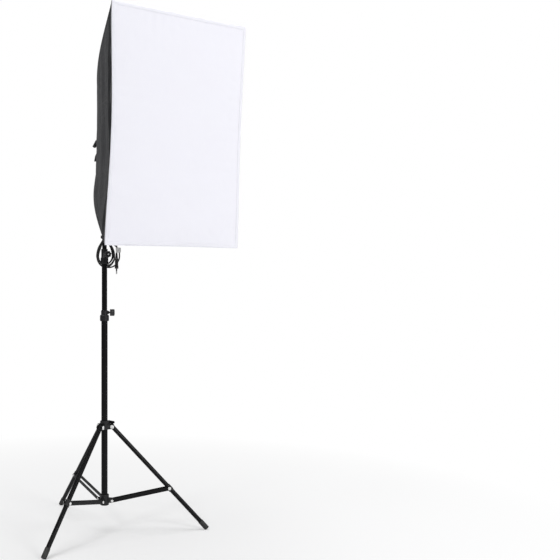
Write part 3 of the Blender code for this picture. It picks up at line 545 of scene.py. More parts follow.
def hank_points():
    """Turn after turn from the back layer to the front one: down the left side, up the right side."""
    points, places = [], []
    for i, (left, right, low, lobe, top) in enumerate(TURNS):
        middle, half = (right - left) / 2, (right + left) / 2
        deep = max(0.030, half * 1.15)
        centre = low + deep
        turn = [(-0.0040, TIE_Z), (middle - half * 0.80, centre + 0.027)]
        for degrees in range(180, 361, 30):
            angle = math.radians(degrees)
            turn.append((middle + half * math.cos(angle), centre + deep * math.sin(angle)))
        turn += [(middle + half * 0.80, centre + 0.027), (0.0040, TIE_Z)]
        if i < len(TURNS) - 1:
            for degrees in (-20, 15, 52, 90, 128, 165, 200):
                angle = math.radians(degrees)
                turn.append((lobe * math.cos(angle), top - lobe + lobe * math.sin(angle)))
        for j, place in enumerate(turn):
            points.append(place)
            places.append(i + j / 18)
    last = places[-1]
    return [
        Vector((x, HANK_BACK_Y + (HANK_FRONT_Y - HANK_BACK_Y) * k / last, z)) for (x, z),
        k in zip(points, places)
    ]


def mains_lead():
    lead = [STAND @ Vector(p) for p in LEAD_POINTS]
    hank = [HANK @ p for p in hank_points()]
    tail = [HANK @ Vector(p) for p in TAIL_POINTS]
    line = spline([*lead, HANK @ Vector((-0.0052, 0.0382, 1.0640)), *hank, *tail], 0.0042)
    bm = bmesh.new()
    sweep(bm, line, ring(CORD_R, 14))
    cord = make("mains_lead", bm, "cord")
    return cord, line


def plug():
    """A flat two-pin plug: ribbed strain relief, waisted grip, bright pins with insulated roots."""
    home = HANK @ Matrix.Translation((PLUG_X, PLUG_Y, PLUG_TOP))
    bm = bmesh.new()
    sleeve, long = 0.0180, 0.0370
    rows = [
        (
            -sleeve + 0.0004, 0.0052, 0.0046, 2.2,
        ), (-sleeve - 0.0040, 0.0085, 0.0060, 2.6), (-sleeve - 0.0100, 0.0125, 0.0064, 3.4),
        (
            -sleeve - 0.0160, 0.0124, 0.0058, 4.0,
        ), (-sleeve - 0.0230, 0.0119, 0.0056, 4.0), (-sleeve - 0.0300, 0.0128, 0.0065, 4.5),
        (-sleeve - long + 0.0012, 0.0129, 0.0065, 4.5), (-sleeve - long, 0.0119, 0.0056, 4.5),
    ]
    rings, count = [], 40
    for z, wide, thick, power in rows:
        loop = []
        for k in range(count):
            t = 2 * math.pi * k / count
            c, s = math.cos(t), math.sin(t)
            x = thick * math.copysign(abs(c) ** (2 / power), c)
            y = wide * math.copysign(abs(s) ** (2 / power), s)
            loop.append(bm.verts.new(home @ Vector((x, y, z))))
        rings.append(loop)
    for first, second in zip(rings, rings[1:]):
        for k in range(count):
            bm.faces.new((first[k], first[(k + 1) % count], second[(k + 1) % count], second[k]))
    bm.faces.new(list(reversed(rings[0])))
    bm.faces.new(rings[-1])
    profile = [(0, -0.0012), (0.0034, -0.0012)]
    for i in range(6):
        z, r = -0.0024 - i * 0.0026, 0.0037 + i * 0.00022
        profile += [(r, z), (r, z - 0.0012), (r - 0.0006, z - 0.0015), (r - 0.0006, z - 0.0023)]
    profile += [(0.0052, -sleeve - 0.001), (0, -sleeve - 0.001)]
    turned(bm, profile, home, 24)
    body = make("plug", bm, "socket_black", sharp=50)
    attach(body, "head_base")
    bm = bmesh.new()
    for sign in (-1, 1):
        base = home @ Matrix.Translation((0, sign * 0.0095, -sleeve - long))
        turned(bm, [
            (0, 0.0010), (0.0020, 0.0010), (0.0020, -0.0175), (0.0016, -0.0188), (0.0008, -0.0190),
            (0, -0.0190),
        ], base, 20)
    pins = make("plug_pins", bm, "pin", sharp=40)
    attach(pins, "head_base")
    bm = bmesh.new()
    for sign in (-1, 1):
        base = home @ Matrix.Translation((0, sign * 0.0095, -sleeve - long))
        turned(bm, [(0.0021, 0.0010), (0.00225, 0.0006), (0.00225, -0.0080), (0.0021, -0.0084)], base, 20)
    roots = make("plug_pin_sleeves", bm, "plastic", sharp=40)
    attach(roots, "head_base")
    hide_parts("plug_body")
    return [body, pins, roots]


def tag():
    """A blank folded paper tag, wrapped round the cord above the plug."""
    home = HANK @ Matrix.Translation((PLUG_X, PLUG_Y, 0.9770))
    bm = bmesh.new()
    layer = bm.loops.layers.uv.verify()
    path = [
        (0.0152, 0.0006), (0.0120, 0.0010), (0.0080, 0.0012), (0.0046, 0.0016), (0.0022, 0.0029),
        (-0.0010, 0.0031), (-0.0031, 0.0008), (-0.0029, -0.0016), (-0.0008, -0.0031), (0.0022, -0.0027),
        (0.0046, -0.0012), (0.0080, 0.0004), (0.0120, 0.0004), (0.0150, 0.0000),
    ]
    columns = []
    for i, (x, y) in enumerate(path):
        curl = 0.0006 * math.sin(i * 0.9)
        columns.append(
            [bm.verts.new(home @ Vector((x, y + curl * (z / 0.009) ** 2 * 0.6, z)))
            for z in (-0.009, -0.003, 0.003, 0.009)],
        )
    for i, (first, second) in enumerate(zip(columns, columns[1:])):
        for k in range(3):
            face = bm.faces.new((first[k], second[k], second[k + 1], first[k + 1]))
            for loop, where in zip(face.loops, ((i, k), (i + 1, k), (i + 1, k + 1), (i, k + 1))):
                loop[layer].uv = (where[0] * 0.003, where[1] * 0.006)
    label = make("blank_tag", bm, "paper")
    modifier(label, "SOLIDIFY", thickness=0.00022, offset=0.0)
    modifier(label, "SUBSURF", levels=1, render_levels=1)
    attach(label, "head_base")
    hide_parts("cord_tag")
    return label


def tie_strap():
    """A hook-and-loop strap round the hank and the column, with its end lapped over."""
    half, front, back, thick, corner = 0.0108, -0.0090, 0.0424, 0.0013, 0.0052

    def loop(grow, start=0):
        points = []
        for cx, cy, first in ((half - corner, back - corner, 0), (-half + corner, back - corner, 90),
                              (-half + corner, front + corner, 180), (half - corner, front + corner, 270)):
            for i in range(7):
                t = math.radians(first + 15 * i)
                points.append(
                    Vector((cx + (corner + grow) * math.cos(t), cy + (corner + grow) * math.sin(t), TIE_Z)),
                )
        return points[start:] + points[:start]

    flat = [(-0.0005, -0.0048), (0.0005, -0.0048), (0.0005, 0.0048), (-0.0005, 0.0048)]
    bm = bmesh.new()
    around = [HANK @ p for p in loop(thick / 2)]
    sweep(bm, around, [(x * 1.2, z) for x, z in flat], True, HANK.to_3x3() @ Vector((1, 0, 0)))
    lap = [HANK @ p for p in loop(thick * 1.45, 14)[:12]]
    sweep(bm, lap, [(x * 0.9, z * 0.96) for x, z in flat], False, HANK.to_3x3() @ Vector((-1, 0, 0)))
    band = make("tie_strap", bm, "strap", sharp=40)
    modifier(band, "BEVEL", width=0.0003, segments=2, limit_method="ANGLE", angle_limit=math.radians(50))
    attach(band, "head_base")
    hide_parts("cord_strap")
    return band


lead, lead_line = mains_lead()
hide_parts("cord_lead", "cord_hank", "cord_tail")
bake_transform(lead)
plug_pieces = plug()
blank_tag = tag()
tie_strap()


# ---- Softbox: shape of the cloth ----
DIAGONAL = math.hypot(HALF_W, HALF_H)
# Each side of the shell: (across, up), anticlockwise from the right, seen from the front.
SIDES = {"right": (1, 0), "top": (0, 1), "left": (-1, 0), "bottom": (0, -1)}
PARTS_ROUND = 20  # cells across each side before refining
HEM_DEEP = 0.055
FOLD_AT = (0.66, 0.52, 0.66, 0.58)  # how far along each side its fold lies


def rib_arc(t):
    """(distance from the lamp's axis, distance forward) on the bowed rib; t is 0 at the hub, 1 in front."""
    rise, run = DIAGONAL - RIB_START_R, FRONT - RIB_START
    chord = math.hypot(rise, run)
    along = chord * t
    out = 4 * RIB_SAGITTA * t * (1 - t) * (1 + RIB_SKEW * (1 - 2 * t))
    return RIB_START_R + (along * rise + out * run) / chord, RIB_START + (along * run - out * rise) / chord


def where_rib(test):
    low, high = 0.0, 1.0
    for _ in range(40):
        middle = (low + high) / 2
        low, high = (middle, high) if test(middle) else (low, middle)
    return low


SHELL_FIRST = where_rib(lambda t: rib_arc(t)[0] < SHELL_START_R)
RIB_LONG = math.dist(rib_arc(0), rib_arc(0.5)) + math.dist(rib_arc(0.5), rib_arc(1))
HEM_T = SHELL_END - HEM_DEEP / RIB_LONG
ROWS = [SHELL_FIRST + (HEM_T - SHELL_FIRST) * i / 30 for i in range(31)]
ROWS += [HEM_T + (SHELL_END - HEM_T) * i / 8 for i in range(1, 9)]
HEM_ROW = 60  # the hem's row in the refined cloth


def edge_bow(across, up):
    """How far the middle of a front edge is pulled in. The left side is the tightest."""
    if across:
        return 0.0110 if across < 0 else 0.0050
    return 0.0010 if up else 0.0


def shell_place(t, s, across, up):
    """A point of the shell in the head's frame, s from -1 to 1 between two ribs."""
    upright = across != 0
    reach, side = (HALF_H, HALF_W) if upright else (HALF_W, HALF_H)
    away, forward = rib_arc(t)
    bow = edge_bow(across, up) * t
    sag = (bow + (SIDE_SAG - bow) * math.sin(math.pi * t)) * (1 - s * s) ** 2 * min(1.0, t * 5)
    along, out = s * away * reach / DIAGONAL, away * side / DIAGONAL - sag
    return Vector((across * out, -forward, along)) if upright else Vector((along, -forward, up * out))


def crumple(place, strength):
    """Slack in the cloth before it settles."""
    value = noise.noise(place * 16.0) + 0.6 * noise.noise(place * 34.0 + Vector((7.1, 0, 0)))
    return value * strength


def soft_fold(place, side, t):
    """A long fold that packing leaves across a side, parallel to the front edge."""
    middle = FOLD_AT[side] + 0.03 * noise.noise(place * 5.0)
    return 0.0050 * math.exp(-((t - middle) / 0.050) ** 2) - 0.0025 * math.exp(
        -((t - middle - 0.11) / 0.045) ** 2,
    )


def shell_grid():
    """Columns of points, going round the box, and the columns on the ribs."""
    columns = []
    for name, (across, up) in SIDES.items():
        backward = name in ("top", "left")
        for k in range(PARTS_ROUND):
            s = 2 * k / PARTS_ROUND - 1
            s = -s if backward else s
            columns.append([shell_place(t, s, across, up) for t in ROWS])
    return columns


def grid_mesh(name, columns, closed):
    """A welded mesh of a grid of points, in order."""
    bm = bmesh.new()
    verts = [[bm.verts.new(p) for p in column] for column in columns]
    pairs = list(zip(verts, verts[1:])) + ([(verts[-1], verts[0])] if closed else [])
    for first, second in pairs:
        for i in range(len(first) - 1):
            bm.faces.new((first[i], second[i], second[i + 1], first[i + 1]))
    data = bpy.data.meshes.new(name)
    bm.to_mesh(data)
    bm.free()
    obj = bpy.data.objects.new(name, data)
    bpy.context.scene.collection.objects.link(obj)
    return obj


def add_cloth(obj, held, slack, mass, bending):
    group = obj.vertex_groups.new(name="held")
    group.add(held, 1.0, "REPLACE")
    cloth = obj.modifiers.new("cloth", "CLOTH")
    settings = cloth.settings
    settings.vertex_group_mass = "held"
    settings.quality = 7
    settings.mass = mass
    settings.tension_stiffness = settings.compression_stiffness = 30.0
    settings.shear_stiffness = 12.0
    settings.bending_stiffness = bending
    settings.tension_damping = settings.compression_damping = 8.0
    settings.air_damping = 2.0
    settings.shrink_min = -slack
    cloth.collision_settings.use_collision = False
    cloth.point_cache.frame_start = 1
    cloth.point_cache.frame_end = 40


def settle(objects, limits, frames=34):
    """Runs the cloth, then keeps each point within its limit of where it was cut to lie."""
    scene = bpy.context.scene
    for number in range(1, frames + 1):
        scene.frame_set(number)
    graph = bpy.context.evaluated_depsgraph_get()
    found = []
    for obj, limit in zip(objects, limits):
        result = obj.evaluated_get(graph)
        moved = [v.co.copy() for v in result.data.vertices]
        for i, vert in enumerate(obj.data.vertices):
            step = moved[i] - vert.co
            if step.length > limit:
                moved[i] = vert.co + step * (limit / step.length)
        found.append(moved)
    scene.frame_set(1)
    return found


def refine(points):
    """Twice as many points on a smooth curve through them all."""
    ends = [points[0] * 2 - points[1], *points, points[-1] * 2 - points[-2]]
    fine = []
    for a, b, c, d in zip(ends, ends[1:], ends[2:], ends[3:]):
        fine += [b, (9 * (b + c) - a - d) / 16]
    return [*fine, points[-1]]


def transpose(grid):
    return [list(line) for line in zip(*grid)]


def refine_grid(columns):
    return transpose([refine(row) for row in transpose([refine(column) for column in columns])])


def normals_of(grid, outward):
    """Unit normals of a grid of points. outward says which way they should face."""
    found = []
    across_count, along_count = len(grid), len(grid[0])
    for k in range(across_count):
        line = []
        for i in range(along_count):
            across = grid[min(k + 1, across_count - 1)][i] - grid[max(k - 1, 0)][i]
            along = grid[k][min(i + 1, along_count - 1)] - grid[k][max(i - 1, 0)]
            normal = across.cross(along).normalized()
            line.append(-normal if normal.dot(outward(grid[k][i])) < 0 else normal)
        found.append(line)
    return found


def soft_grid(bm, grid, flip=False, index=0, first=None, last=None):
    """Adds a grid of points to a mesh, with UVs in metres. first and last are ready-made edge columns."""
    layer = bm.loops.layers.uv.verify()
    verts = []
    for k, column in enumerate(grid):
        if k == 0 and first:
            verts.append(first)
        elif k == len(grid) - 1 and last:
            verts.append(last)
        else:
            verts.append([bm.verts.new(p) for p in column])
    middle = len(grid) // 2
    downs = [0.0]
    for p, q in zip(grid[middle], grid[middle][1:]):
        downs.append(downs[-1] + (q - p).length)
    rows = transpose(grid)
    overs = []
    for row in rows:
        run = [0.0]
        for p, q in zip(row, row[1:]):
            run.append(run[-1] + (q - p).length)
        overs.append([x - run[-1] / 2 for x in run])
    for k in range(len(grid) - 1):
        for i in range(len(rows) - 1):
            corners = [(k, i), (k + 1, i), (k + 1, i + 1), (k, i + 1)]
            if flip:
                corners.reverse()
            face = bm.faces.new([verts[a][b] for a, b in corners])
            face.material_index = index
            for loop, (a, b) in zip(face.loops, corners):
                loop[layer].uv = (overs[b][a], downs[b])
    return verts


def lifted(grid, normals, height):
    return [[p + n * height for p, n in zip(column, ways)] for column, ways in zip(grid, normals)]


# ---- Softbox: shell, seams and hem ----
def front_place(a, b):
    """A point of the diffuser in the head's frame. a and b are from -1 to 1."""
    bow_x, bow_z = edge_bow(a, 0) * (1 - b * b) ** 2, edge_bow(0, b) * (1 - a * a) ** 2
    return Vector((a * (HALF_W - bow_x), -(FRONT + 0.0015), b * (HALF_H - bow_z)))


def spread(half, hem, count):
    """Places across the diffuser, with a line at the hem's inner edge."""
    inner = 1 - hem / half
    return [-1.0, -1 + 0.5 * hem / half] + [
        -inner + 2 * inner * i / count for i in range(count + 1)
    ] + [1 - 0.5 * hem / half, 1.0]


HEM_FRONT = 0.0105
ACROSS = spread(HALF_W, HEM_FRONT, 30)
UPWARD = spread(HALF_H, HEM_FRONT, 42)


def settled_cloth():
    """The shell's columns and the diffuser's, in the head's frame, after the simulation."""
    columns = shell_grid()
    front = [[front_place(a, b) for b in UPWARD] for a in ACROSS]
    count = len(columns)
    loose = []
    for k, column in enumerate(columns):
        s = (k % PARTS_ROUND) / PARTS_ROUND * 2 - 1
        out = Vector((column[-1].x, 0, column[-1].z)).normalized()
        line = []
        for i, p in enumerate(column):
            share = (1 - s ** 4) * min(1.0, i / 5, (len(column) - 1 - i) / 5)
            line.append(p + out * (crumple(p, 0.0028) + soft_fold(p, k // PARTS_ROUND, ROWS[i])) * share)
        loose.append(line)
    slack_front = []
    for a, column in zip(ACROSS, front):
        line = []
        for b, p in zip(UPWARD, column):
            share = min(1.0, (1 - abs(a)) * 7, (1 - abs(b)) * 9)
            line.append(p + Vector((0, crumple(p + Vector((3, 3, 3)), 0.0012) * share, 0)))
        slack_front.append(line)
    shell = grid_mesh("shell_cut", loose, True)
    rows = len(ROWS)
    held = [k * rows + i for k in range(count) for i in range(rows)
            if k % PARTS_ROUND == 0 or i < 2 or i >= rows - 1]
    add_cloth(shell, held, 0.0015, 0.10, 0.6)
    sheet = grid_mesh("diffuser_cut", slack_front, False)
    rows = len(UPWARD)
    held = [k * rows + i for k in range(len(ACROSS)) for i in range(rows)
            if k in (0, len(ACROSS) - 1) or i in (0, rows - 1)]
    add_cloth(sheet, held, 0.0002, 0.06, 0.8)
    for each in (shell, sheet):
        each.matrix_world = HEAD
    found = settle([shell, sheet], [0.007, 0.004])
    results = []
    for moved, rows in zip(found, (len(ROWS), len(UPWARD))):
        results.append([moved[i:i + rows] for i in range(0, len(moved), rows)])
    for each in (shell, sheet):
        bpy.data.objects.remove(each)
    return results


shell_columns, front_columns = settled_cloth()


def side_grids():
    """Each side's refined grid in the row frame, rib to rib, and its normals."""
    found = []
    for number in range(4):
        first = number * PARTS_ROUND
        columns = [shell_columns[(first + k) % len(shell_columns)] for k in range(PARTS_ROUND + 1)]
        grid = [[HEAD @ p for p in column] for column in refine_grid(columns)]
        axis = HEAD @ Vector((0, -0.25, 0))
        found.append((grid, normals_of(grid, lambda p: p - axis)))
    return found


GRIDS = side_grids()


def at_distance(grid, normals, distance, from_end):
    """A line beside a rib, at a distance from it."""
    line, ways = [], []
    for i in range(len(grid[0])):
        row = [column[i] for column in grid]
        turns = [column[i] for column in normals]
        if from_end:
            row, turns = row[::-1], turns[::-1]
        walked, j = 0.0, 0
        while walked + (row[j + 1] - row[j]).length < distance:
            walked += (row[j + 1] - row[j]).length
            j += 1
        share = (distance - walked) / (row[j + 1] - row[j]).length
        line.append(row[j].lerp(row[j + 1], share))
        ways.append(turns[j].lerp(turns[j + 1], share).normalized())
    return line, ways


def softbox_shell():
    bm = bmesh.new()
    edges = [[bm.verts.new(p) for p in grid[0]] for grid, _ in GRIDS]
    for number, (grid, _) in enumerate(GRIDS):
        soft_grid(bm, grid, first=edges[number], last=edges[(number + 1) % 4])
    shell = make("softbox_shell", bm, ["nylon", "lining"])
    modifier(
        shell, "SOLIDIFY", thickness=0.0007, offset=-1.0, material_offset=1, material_offset_rim=0,
        use_even_offset=True,
    )
    return shell


def shell_hem():
    """The doubled front edge, a separate strip on each side."""
    bm = bmesh.new()
    for grid, normals in GRIDS:
        cut = [column[HEM_ROW:] for column in grid]
        ways = [column[HEM_ROW:] for column in normals]
        strip = lifted(cut, ways, 0.0011)
        for column, base, way in zip(strip, cut, ways):
            column[:0] = [base[0] + way[0] * 0.0001, base[0].lerp(base[1], 0.12) + way[0] * 0.0008]
            column[2] = base[0].lerp(base[1], 0.5) + way[0] * 0.0011
        soft_grid(bm, strip)
    return make("shell_hem", bm, "hem")


def seam_stitches():
    bm = bmesh.new()
    for grid, normals in GRIDS:
        for from_end in (False, True):
            line, ways = at_distance(grid, normals, 0.0055, from_end)
            lift = [p + n * (0.0002 if i < HEM_ROW else 0.0012) for i, (p, n) in enumerate(zip(line, ways))]
            stitches(bm, lift[1:-2], ways[1:-2])
        for row, share, height in (
            (HEM_ROW, 0.9, 0.0012), (HEM_ROW + 8, 0.0, 0.0012), (HEM_ROW + 9, 0.2, 0.0012),
        ):
            line = [
                column[row].lerp(column[row + 1], share) + ways[row] * height for column,
                ways in zip(grid, normals)
            ]
            stitches(bm, line, [ways[row] for ways in normals])
    return make("shell_stitching", bm, "thread")


def rib_piping():
    """A rounded binding on the seam over each rib."""
    bm = bmesh.new()
    for number, (grid, normals) in enumerate(GRIDS):
        before = GRIDS[number - 1][1][-1]
        line, ways = grid[0], normals[0]
        raised = [p + (n + m).normalized() * 0.0002 for p, n, m in zip(line, ways, before)]
        sweep(bm, raised, ring(0.0016, 10, 0.9), side=(ways[0] + before[0]).normalized())
    return make("rib_piping", bm, "tape")


def band(bm, points, outs, fronts, outline, closed=True):
    """A band of any outline [(out, forward)] along points that each have their own axes."""
    layer = bm.loops.layers.uv.verify()
    rings = [
        [bm.verts.new(p + n * x + f * y) for x, y in outline] for p, n, f in zip(points, outs, fronts)
    ]
    count, sides = len(rings), len(outline)
    walked = 0.0
    for i in range(count if closed else count - 1):
        j = (i + 1) % count
        step = (points[j] - points[i]).length
        for k in range(sides):
            n = (k + 1) % sides
            face = bm.faces.new((rings[i][k], rings[i][n], rings[j][n], rings[j][k]))
            for loop, where in zip(
                face.loops, ((k, walked), (k + 1, walked), (k + 1, walked + step), (k, walked + step)),
            ):
                loop[layer].uv = (where[0] * 0.003, where[1])
        walked += step


def round_row(row):
    """The points of one row going all round the box, with outward and forward directions."""
    points, outs, fronts = [], [], []
    for number, (grid, normals) in enumerate(GRIDS):
        for k in range(len(grid) - 1):
            out = normals[k][row]
            if k == 0:
                out = (out + GRIDS[number - 1][1][-1][row]).normalized() * 1.25
            points.append(grid[k][row])
            outs.append(out)
            fronts.append((
                grid[k][row] - grid[k][row - 1]
            ).normalized() if row else (grid[k][0] - grid[k][1]).normalized())
    return points, outs, fronts


def front_binding():
    """Black tape that closes the shell's front edge, just behind the white cloth."""
    bm = bmesh.new()
    band(bm, *round_row(-1), [
        (0.0011, -0.0095), (0.0017, -0.0088), (0.0018, -0.0010), (0.0013, 0.0004), (0.0, 0.0006),
        (-0.0010, 0.0002), (-0.0010, -0.0095),
    ])
    return make("front_binding", bm, "tape", sharp=50)


def rear_collar():
    """Gathered elastic collar from the shell's small end to the lamp holder."""
    points = round_row(0)[0]
    axis_way = (HEAD.to_3x3() @ Vector((0, -1, 0))).normalized()
    inverse = HEAD.inverted()
    columns = []
    for i, p in enumerate(points):
        local = inverse @ p
        angle = math.atan2(local.z, local.x)
        gather = 0.0011 * math.cos(26 * angle) + 0.0006 * math.cos(41 * angle + 1.0)
        start = Vector((local.x, local.y, local.z))
        knee = Vector((local.x, -0.0430, local.z))
        end = Vector((0.0203 * math.cos(angle), -0.0352, 0.0203 * math.sin(angle)))
        out = Vector((math.cos(angle), 0, math.sin(angle)))
        column = []
        for j in range(11):
            t = j / 10
            place = start * (1 - t) ** 2 + knee * 2 * t * (1 - t) + end * t * t
            place += out * gather * math.sin(
                math.pi * min(1.0, t * 1.15),
            ) * (0.4 + t) + Vector((0, gather * t * 0.8, 0))
            column.append(HEAD @ place)
        columns.append(column)
    bm = bmesh.new()
    columns.append(columns[0])
    soft_grid(bm, columns)
    bmesh.ops.remove_doubles(bm, verts=bm.verts, dist=0.000001)
    collar = make("rear_collar", bm, ["hem", "lining"])
    modifier(collar, "SOLIDIFY", thickness=0.0008, offset=-1.0, material_offset=1, material_offset_rim=0)
    modifier(collar, "SUBSURF", levels=1, render_levels=1)
    loop = [
        HEAD @ Vector((0.0214 * math.cos(t), -0.0350, 0.0214 * math.sin(t)))
        for t in (2 * math.pi * i / 48 for i in range(48))
    ]
    bm = bmesh.new()
    sweep(bm, loop, ring(0.0019, 12), True, side=-axis_way)
    elastic = make("collar_elastic", bm, "hem")
    return collar, elastic


shell = softbox_shell()
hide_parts("panel_left", "panel_right", "panel_top", "panel_bottom")
hem, thread, piping, binding = shell_hem(), seam_stitches(), rib_piping(), front_binding()
collar, elastic = rear_collar()
shell_pieces = [hem, thread, piping, binding, collar, elastic]
for piece in (shell, *shell_pieces):
    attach(piece, "head")


# ---- Softbox: white front ----
def diffuser():
    fine = refine_grid(front_columns)
    grid = [[HEAD @ p for p in column] for column in fine]
    toward = (HEAD.to_3x3() @ Vector((0, -1, 0))).normalized()
    normals = normals_of(grid, lambda p: toward)
    bm = bmesh.new()
    verts = soft_grid(bm, grid)
    rim = [column[0] for column in verts] + verts[-1][1:] + [
        column[-1] for column in verts[::-1][1:]
    ] + verts[0][::-1][1:-1]
    ring_before = rim
    layer = bm.loops.layers.uv.verify()
    for out, back in ((0.0009, 0.0004), (0.0014, 0.0012), (0.0014, 0.0024), (0.0006, 0.0032)):
        ring_now = []
        for vert in rim:
            local = HEAD.inverted() @ vert.co
            way = Vector((local.x / HALF_W, 0, local.z / HALF_H))
            big = max(abs(way.x), abs(way.z))
            way = Vector(
                (way.x if abs(way.x) > big - 0.012 else 0, 0, way.z if abs(way.z) > big - 0.012 else 0),
            ).normalized()
            ring_now.append(bm.verts.new(HEAD @ (local + way * out + Vector((0, back, 0)))))
        count = len(rim)
        for i in range(count):
            j = (i + 1) % count
            face = bm.faces.new((ring_before[i], ring_before[j], ring_now[j], ring_now[i]))
            for loop, where in zip(face.loops, ((i, 0), (i + 1, 0), (i + 1, 1), (i, 1))):
                loop[layer].uv = (where[0] * 0.01, where[1] * 0.001)
        ring_before = ring_now
    sheet = make("front_cloth", bm, "white")
    hem_bm, thread_bm = bmesh.new(), bmesh.new()
    # The folded hem: upright strips run the full height, level ones fit between them.
    strips = (
        (grid[:5], normals[:5]), (grid[-5:], normals[-5:]),
        ([column[:5] for column in grid[4:-4]], [column[:5] for column in normals[4:-4]]),
        ([column[-5:] for column in grid[4:-4]], [column[-5:] for column in normals[4:-4]]),
    )
    for strip, way in strips:
        soft_grid(hem_bm, lifted(strip, way, 0.00025))
    bmesh.ops.remove_doubles(hem_bm, verts=hem_bm.verts, dist=0.00005)
    folded = make("front_hem", hem_bm, "white_hem")
    modifier(folded, "SOLIDIFY", thickness=0.0003, offset=-1.0)
    inset = 4 * 0.82
    low, share = int(inset), inset - int(inset)
    lines = (
        [p.lerp(q, share) for p, q in zip(grid[low], grid[low + 1])],
        [p.lerp(q, share) for p, q in zip(grid[-1 - low], grid[-2 - low])],
        [column[low].lerp(column[low + 1], share) for column in grid],
        [column[-1 - low].lerp(column[-2 - low], share) for column in grid],
    )
    for line in lines:
        lift = [p + toward * 0.0003 for p in line]
        stitches(thread_bm, lift[low:-low], [toward] * (len(lift) - 2 * low), 0.0034, 0.0014, 0.00022)
    thread = make("front_stitching", thread_bm, "white_thread")
    return sheet, folded, thread


front, front_hem, front_thread = diffuser()
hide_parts("front_diffuser")
for piece in (front, front_hem, front_thread):
    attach(piece, "head")


# ---- Small hard parts ----
def turned_piece(name, profiles, finish, body, steps=32, sharp=35):
    bm = bmesh.new()
    for profile, home in profiles:
        turned(bm, profile, home, steps)
    obj = make(name, bm, finish, sharp=sharp)
    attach(obj, body)
    return obj


def radial(azimuth, out, across, up):
    return STAND @ Matrix.Rotation(math.radians(azimuth), 4, "Z") @ Matrix.Translation((out, across, up))


def brace_rivets():
    """White domed rivets on the outer ends of the brace bars."""
    dome = [(0, 0.0030), (0.0022, 0.0028), (0.0042, 0.0019), (0.0055, 0.0006), (0.0056, 0.0), (0, 0.0)]
    for side, azimuth in LEG_AZIMUTHS.items():
        homes = []
        for sign in (-1, 1):
            place = radial(azimuth, RIVET_OUT, sign * RIVET_ACROSS, RIVET_UP)
            homes.append((dome, place @ Matrix.Rotation(-sign * math.pi / 2, 4, "X")))
        turned_piece("brace_rivets_" + side, homes, "rivet", "brace_" + side, 24)


def knob_caps():
    """A recessed disc with a bright screw end on each lock knob."""
    rim = [
        (0, 0.0002), (0.0062, 0.0002), (0.0066, 0.0009), (0.0080, 0.0009), (0.0084, 0.0003),
        (0.0084, -0.0008), (0, -0.0008),
    ]
    screw = [(0, 0.0011), (0.0016, 0.0010), (0.0024, 0.0004), (0.0024, -0.0004), (0, -0.0004)]
    for name, azimuth, height, face, body in (
        ("lower", -32, 0.7590, 0.0348, "lower_knob"), ("upper", -97, 0.9620, 0.0340, "upper_knob"),
    ):
        home = radial(azimuth, face, 0, height) @ Matrix.Rotation(math.pi / 2, 4, "Y")
        turned_piece(name + "_knob_cap", [(rim, home)], "plastic", body)
        turned_piece(name + "_knob_screw", [(screw, home)], "bright", body, 20)


def grip_ribs(name, home, radius, low, high, count, width, finish, body):
    """Moulded ribs round a sleeve."""
    bm = bmesh.new()
    for i in range(count):
        turn = home @ Matrix.Rotation(2 * math.pi * i / count, 4, "Z")
        outline = [(-width, -0.0003), (-width * 0.6, 0.0006), (width * 0.6, 0.0006), (width, -0.0003)]
        rows = []
        for z, grow in ((low, 0.0), (low + 0.001, 1.0), (high - 0.001, 1.0), (high, 0.0)):
            rows.append([
                bm.verts.new(turn @ Vector((radius + (x_out if x_out < 0 else x_out * grow), across, z)))
                for across, x_out in outline
            ])
        for first, second in zip(rows, rows[1:]):
            for k in range(3):
                bm.faces.new((first[k], first[k + 1], second[k + 1], second[k]))
        for row in (rows[0], rows[-1]):
            bm.faces.new(row)
    obj = make(name, bm, finish, sharp=60)
    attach(obj, body)


def rear_screws():
    head = [
        (0, 0.0008), (0.0009, 0.0008), (0.0018, 0.0006), (0.0023, 0.0001), (0.0023, -0.0004), (0, -0.0004),
    ]
    homes = [
        (
            head, HEAD @ Matrix.Translation((x, 0.0148, -0.0030)) @ Matrix.Rotation(-math.pi / 2, 4, "X"),
        ) for x in (-0.0135, 0.0135)
    ]
    turned_piece("rear_cap_screws", homes, "bright", "head", 20)


def holder_rings():
    """Three raised rings round the lamp holder's front part."""
    rings = []
    for forward in (0.0150, 0.0205, 0.0260):
        home = HEAD @ Matrix.Rotation(math.pi / 2, 4, "X") @ Matrix.Translation((0, 0, forward))
        rings.append(([(0.0193, -0.0014), (0.0200, -0.0009), (0.0200, 0.0009), (0.0193, 0.0014)], home))
    turned_piece("holder_rings", rings, "socket_black", "head", 48)


brace_rivets()
knob_caps()
grip_ribs("lower_clamp_grip", STAND, 0.0152, 0.7310, 0.7470, 22, 0.0008, "plastic", "column")
grip_ribs("upper_clamp_grip", STAND, 0.0130, 0.9305, 0.9480, 20, 0.0008, "plastic", "middle")
rear_screws()
holder_rings()

dress(["lower_tube", "leg_tube_a", "leg_tube_b", "leg_tube_c"], "tube", 0.0003)
dress(["middle_tube", "upper_tube"], "sliding", 0.0003)
dress([f"brace_bar_{side}_{hand}" for side in LEG_AZIMUTHS for hand in ("left", "right")], "bar", 0.0004)
dress(
    ["bottom_hub", "lower_clamp", "leg_collar", "collar_wing", "upper_clamp",
     "tilt_yoke", "rod_hub", "rear_cap",
     "leg_clip_a", "leg_clip_b", "leg_clip_c", "power_switch"], "plastic", 0.0005,
)
dress(["cable_gland"], "plastic", 0.0002)
dress(["lower_clamp_knob", "upper_clamp_knob", "tilt_lever", "socket_lever"], "soft_black", 0.0006)
dress(["foot_a", "foot_b", "foot_c"], "foot_black", 0.0005)
dress(["lamp_holder", "bulb_socket"], "socket_black", 0.0004)
dress([f"{kind}_rivet_{side}" for kind in ("hub", "collar") for side in LEG_AZIMUTHS], "rivet", 0.0003)
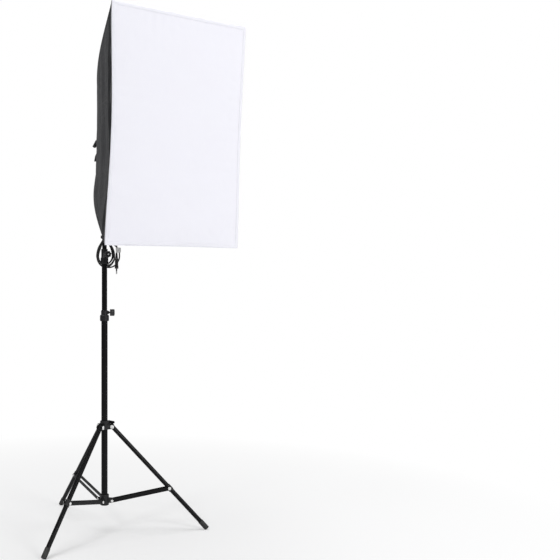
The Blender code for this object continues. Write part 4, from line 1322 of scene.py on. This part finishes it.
dress(["top_stud", "tilt_pivot_cap", "bulb_cap"], "bright", 0.0003)
dress(["bulb"], "bulb", 0)
dress([f"rib_{level}_{hand}" for level in ("top", "bottom") for hand in ("left", "right")], "rod", 0)


# ---- Studio ----
def studio():
    bm = bmesh.new()
    bmesh.ops.create_circle(bm, cap_ends=True, segments=96, radius=14.0)
    data = bpy.data.meshes.new("studio_floor")
    bm.to_mesh(data)
    bm.free()
    floor = bpy.data.objects.new("studio_floor", data)
    bpy.context.scene.collection.objects.link(floor)
    data.materials.append(studio_floor())
    world = bpy.data.worlds.new("studio")
    bpy.context.scene.world = world
    world.use_nodes = True
    tree = world.node_tree
    tree.nodes["Background"].inputs["Color"].default_value = (0.98, 0.99, 1.0, 1)
    tree.nodes["Background"].inputs["Strength"].default_value = 0.20
    seen = tree.nodes.new("ShaderNodeBackground")
    seen.inputs["Color"].default_value = (1, 1, 1, 1)
    seen.inputs["Strength"].default_value = 1.0
    path = tree.nodes.new("ShaderNodeLightPath")
    mix = tree.nodes.new("ShaderNodeMixShader")
    tree.links.new(path.outputs["Is Camera Ray"], mix.inputs[0])
    tree.links.new(tree.nodes["Background"].outputs[0], mix.inputs[1])
    tree.links.new(seen.outputs[0], mix.inputs[2])
    tree.links.new(mix.outputs[0], tree.nodes["World Output"].inputs[0])
    for name, place, aim, size, power in (
        ("key", (0.8, -4.2, 2.2), (0, 0, 1.1), 1.6, 80.0),
        ("fill", (3.4, -2.2, 2.4), (0, 0, 0.9), 1.6, 24.0),
        ("side", (-2.6, -0.7, 2.7), (0, -0.2, 1.45), 0.6, 24.0),
        ("top", (0.0, 0.0, 4.6), (0, 0, 0), 3.0, 120.0),
    ):
        data = bpy.data.lights.new(name, "AREA")
        data.shape = "SQUARE"
        data.size = size
        data.energy = power
        light = bpy.data.objects.new(name, data)
        light.location = place
        light.rotation_euler = (Vector(aim) - Vector(place)).to_track_quat("-Z", "Y").to_euler()
        bpy.context.scene.collection.objects.link(light)
    bpy.context.scene.view_settings.view_transform = "Standard"


studio()
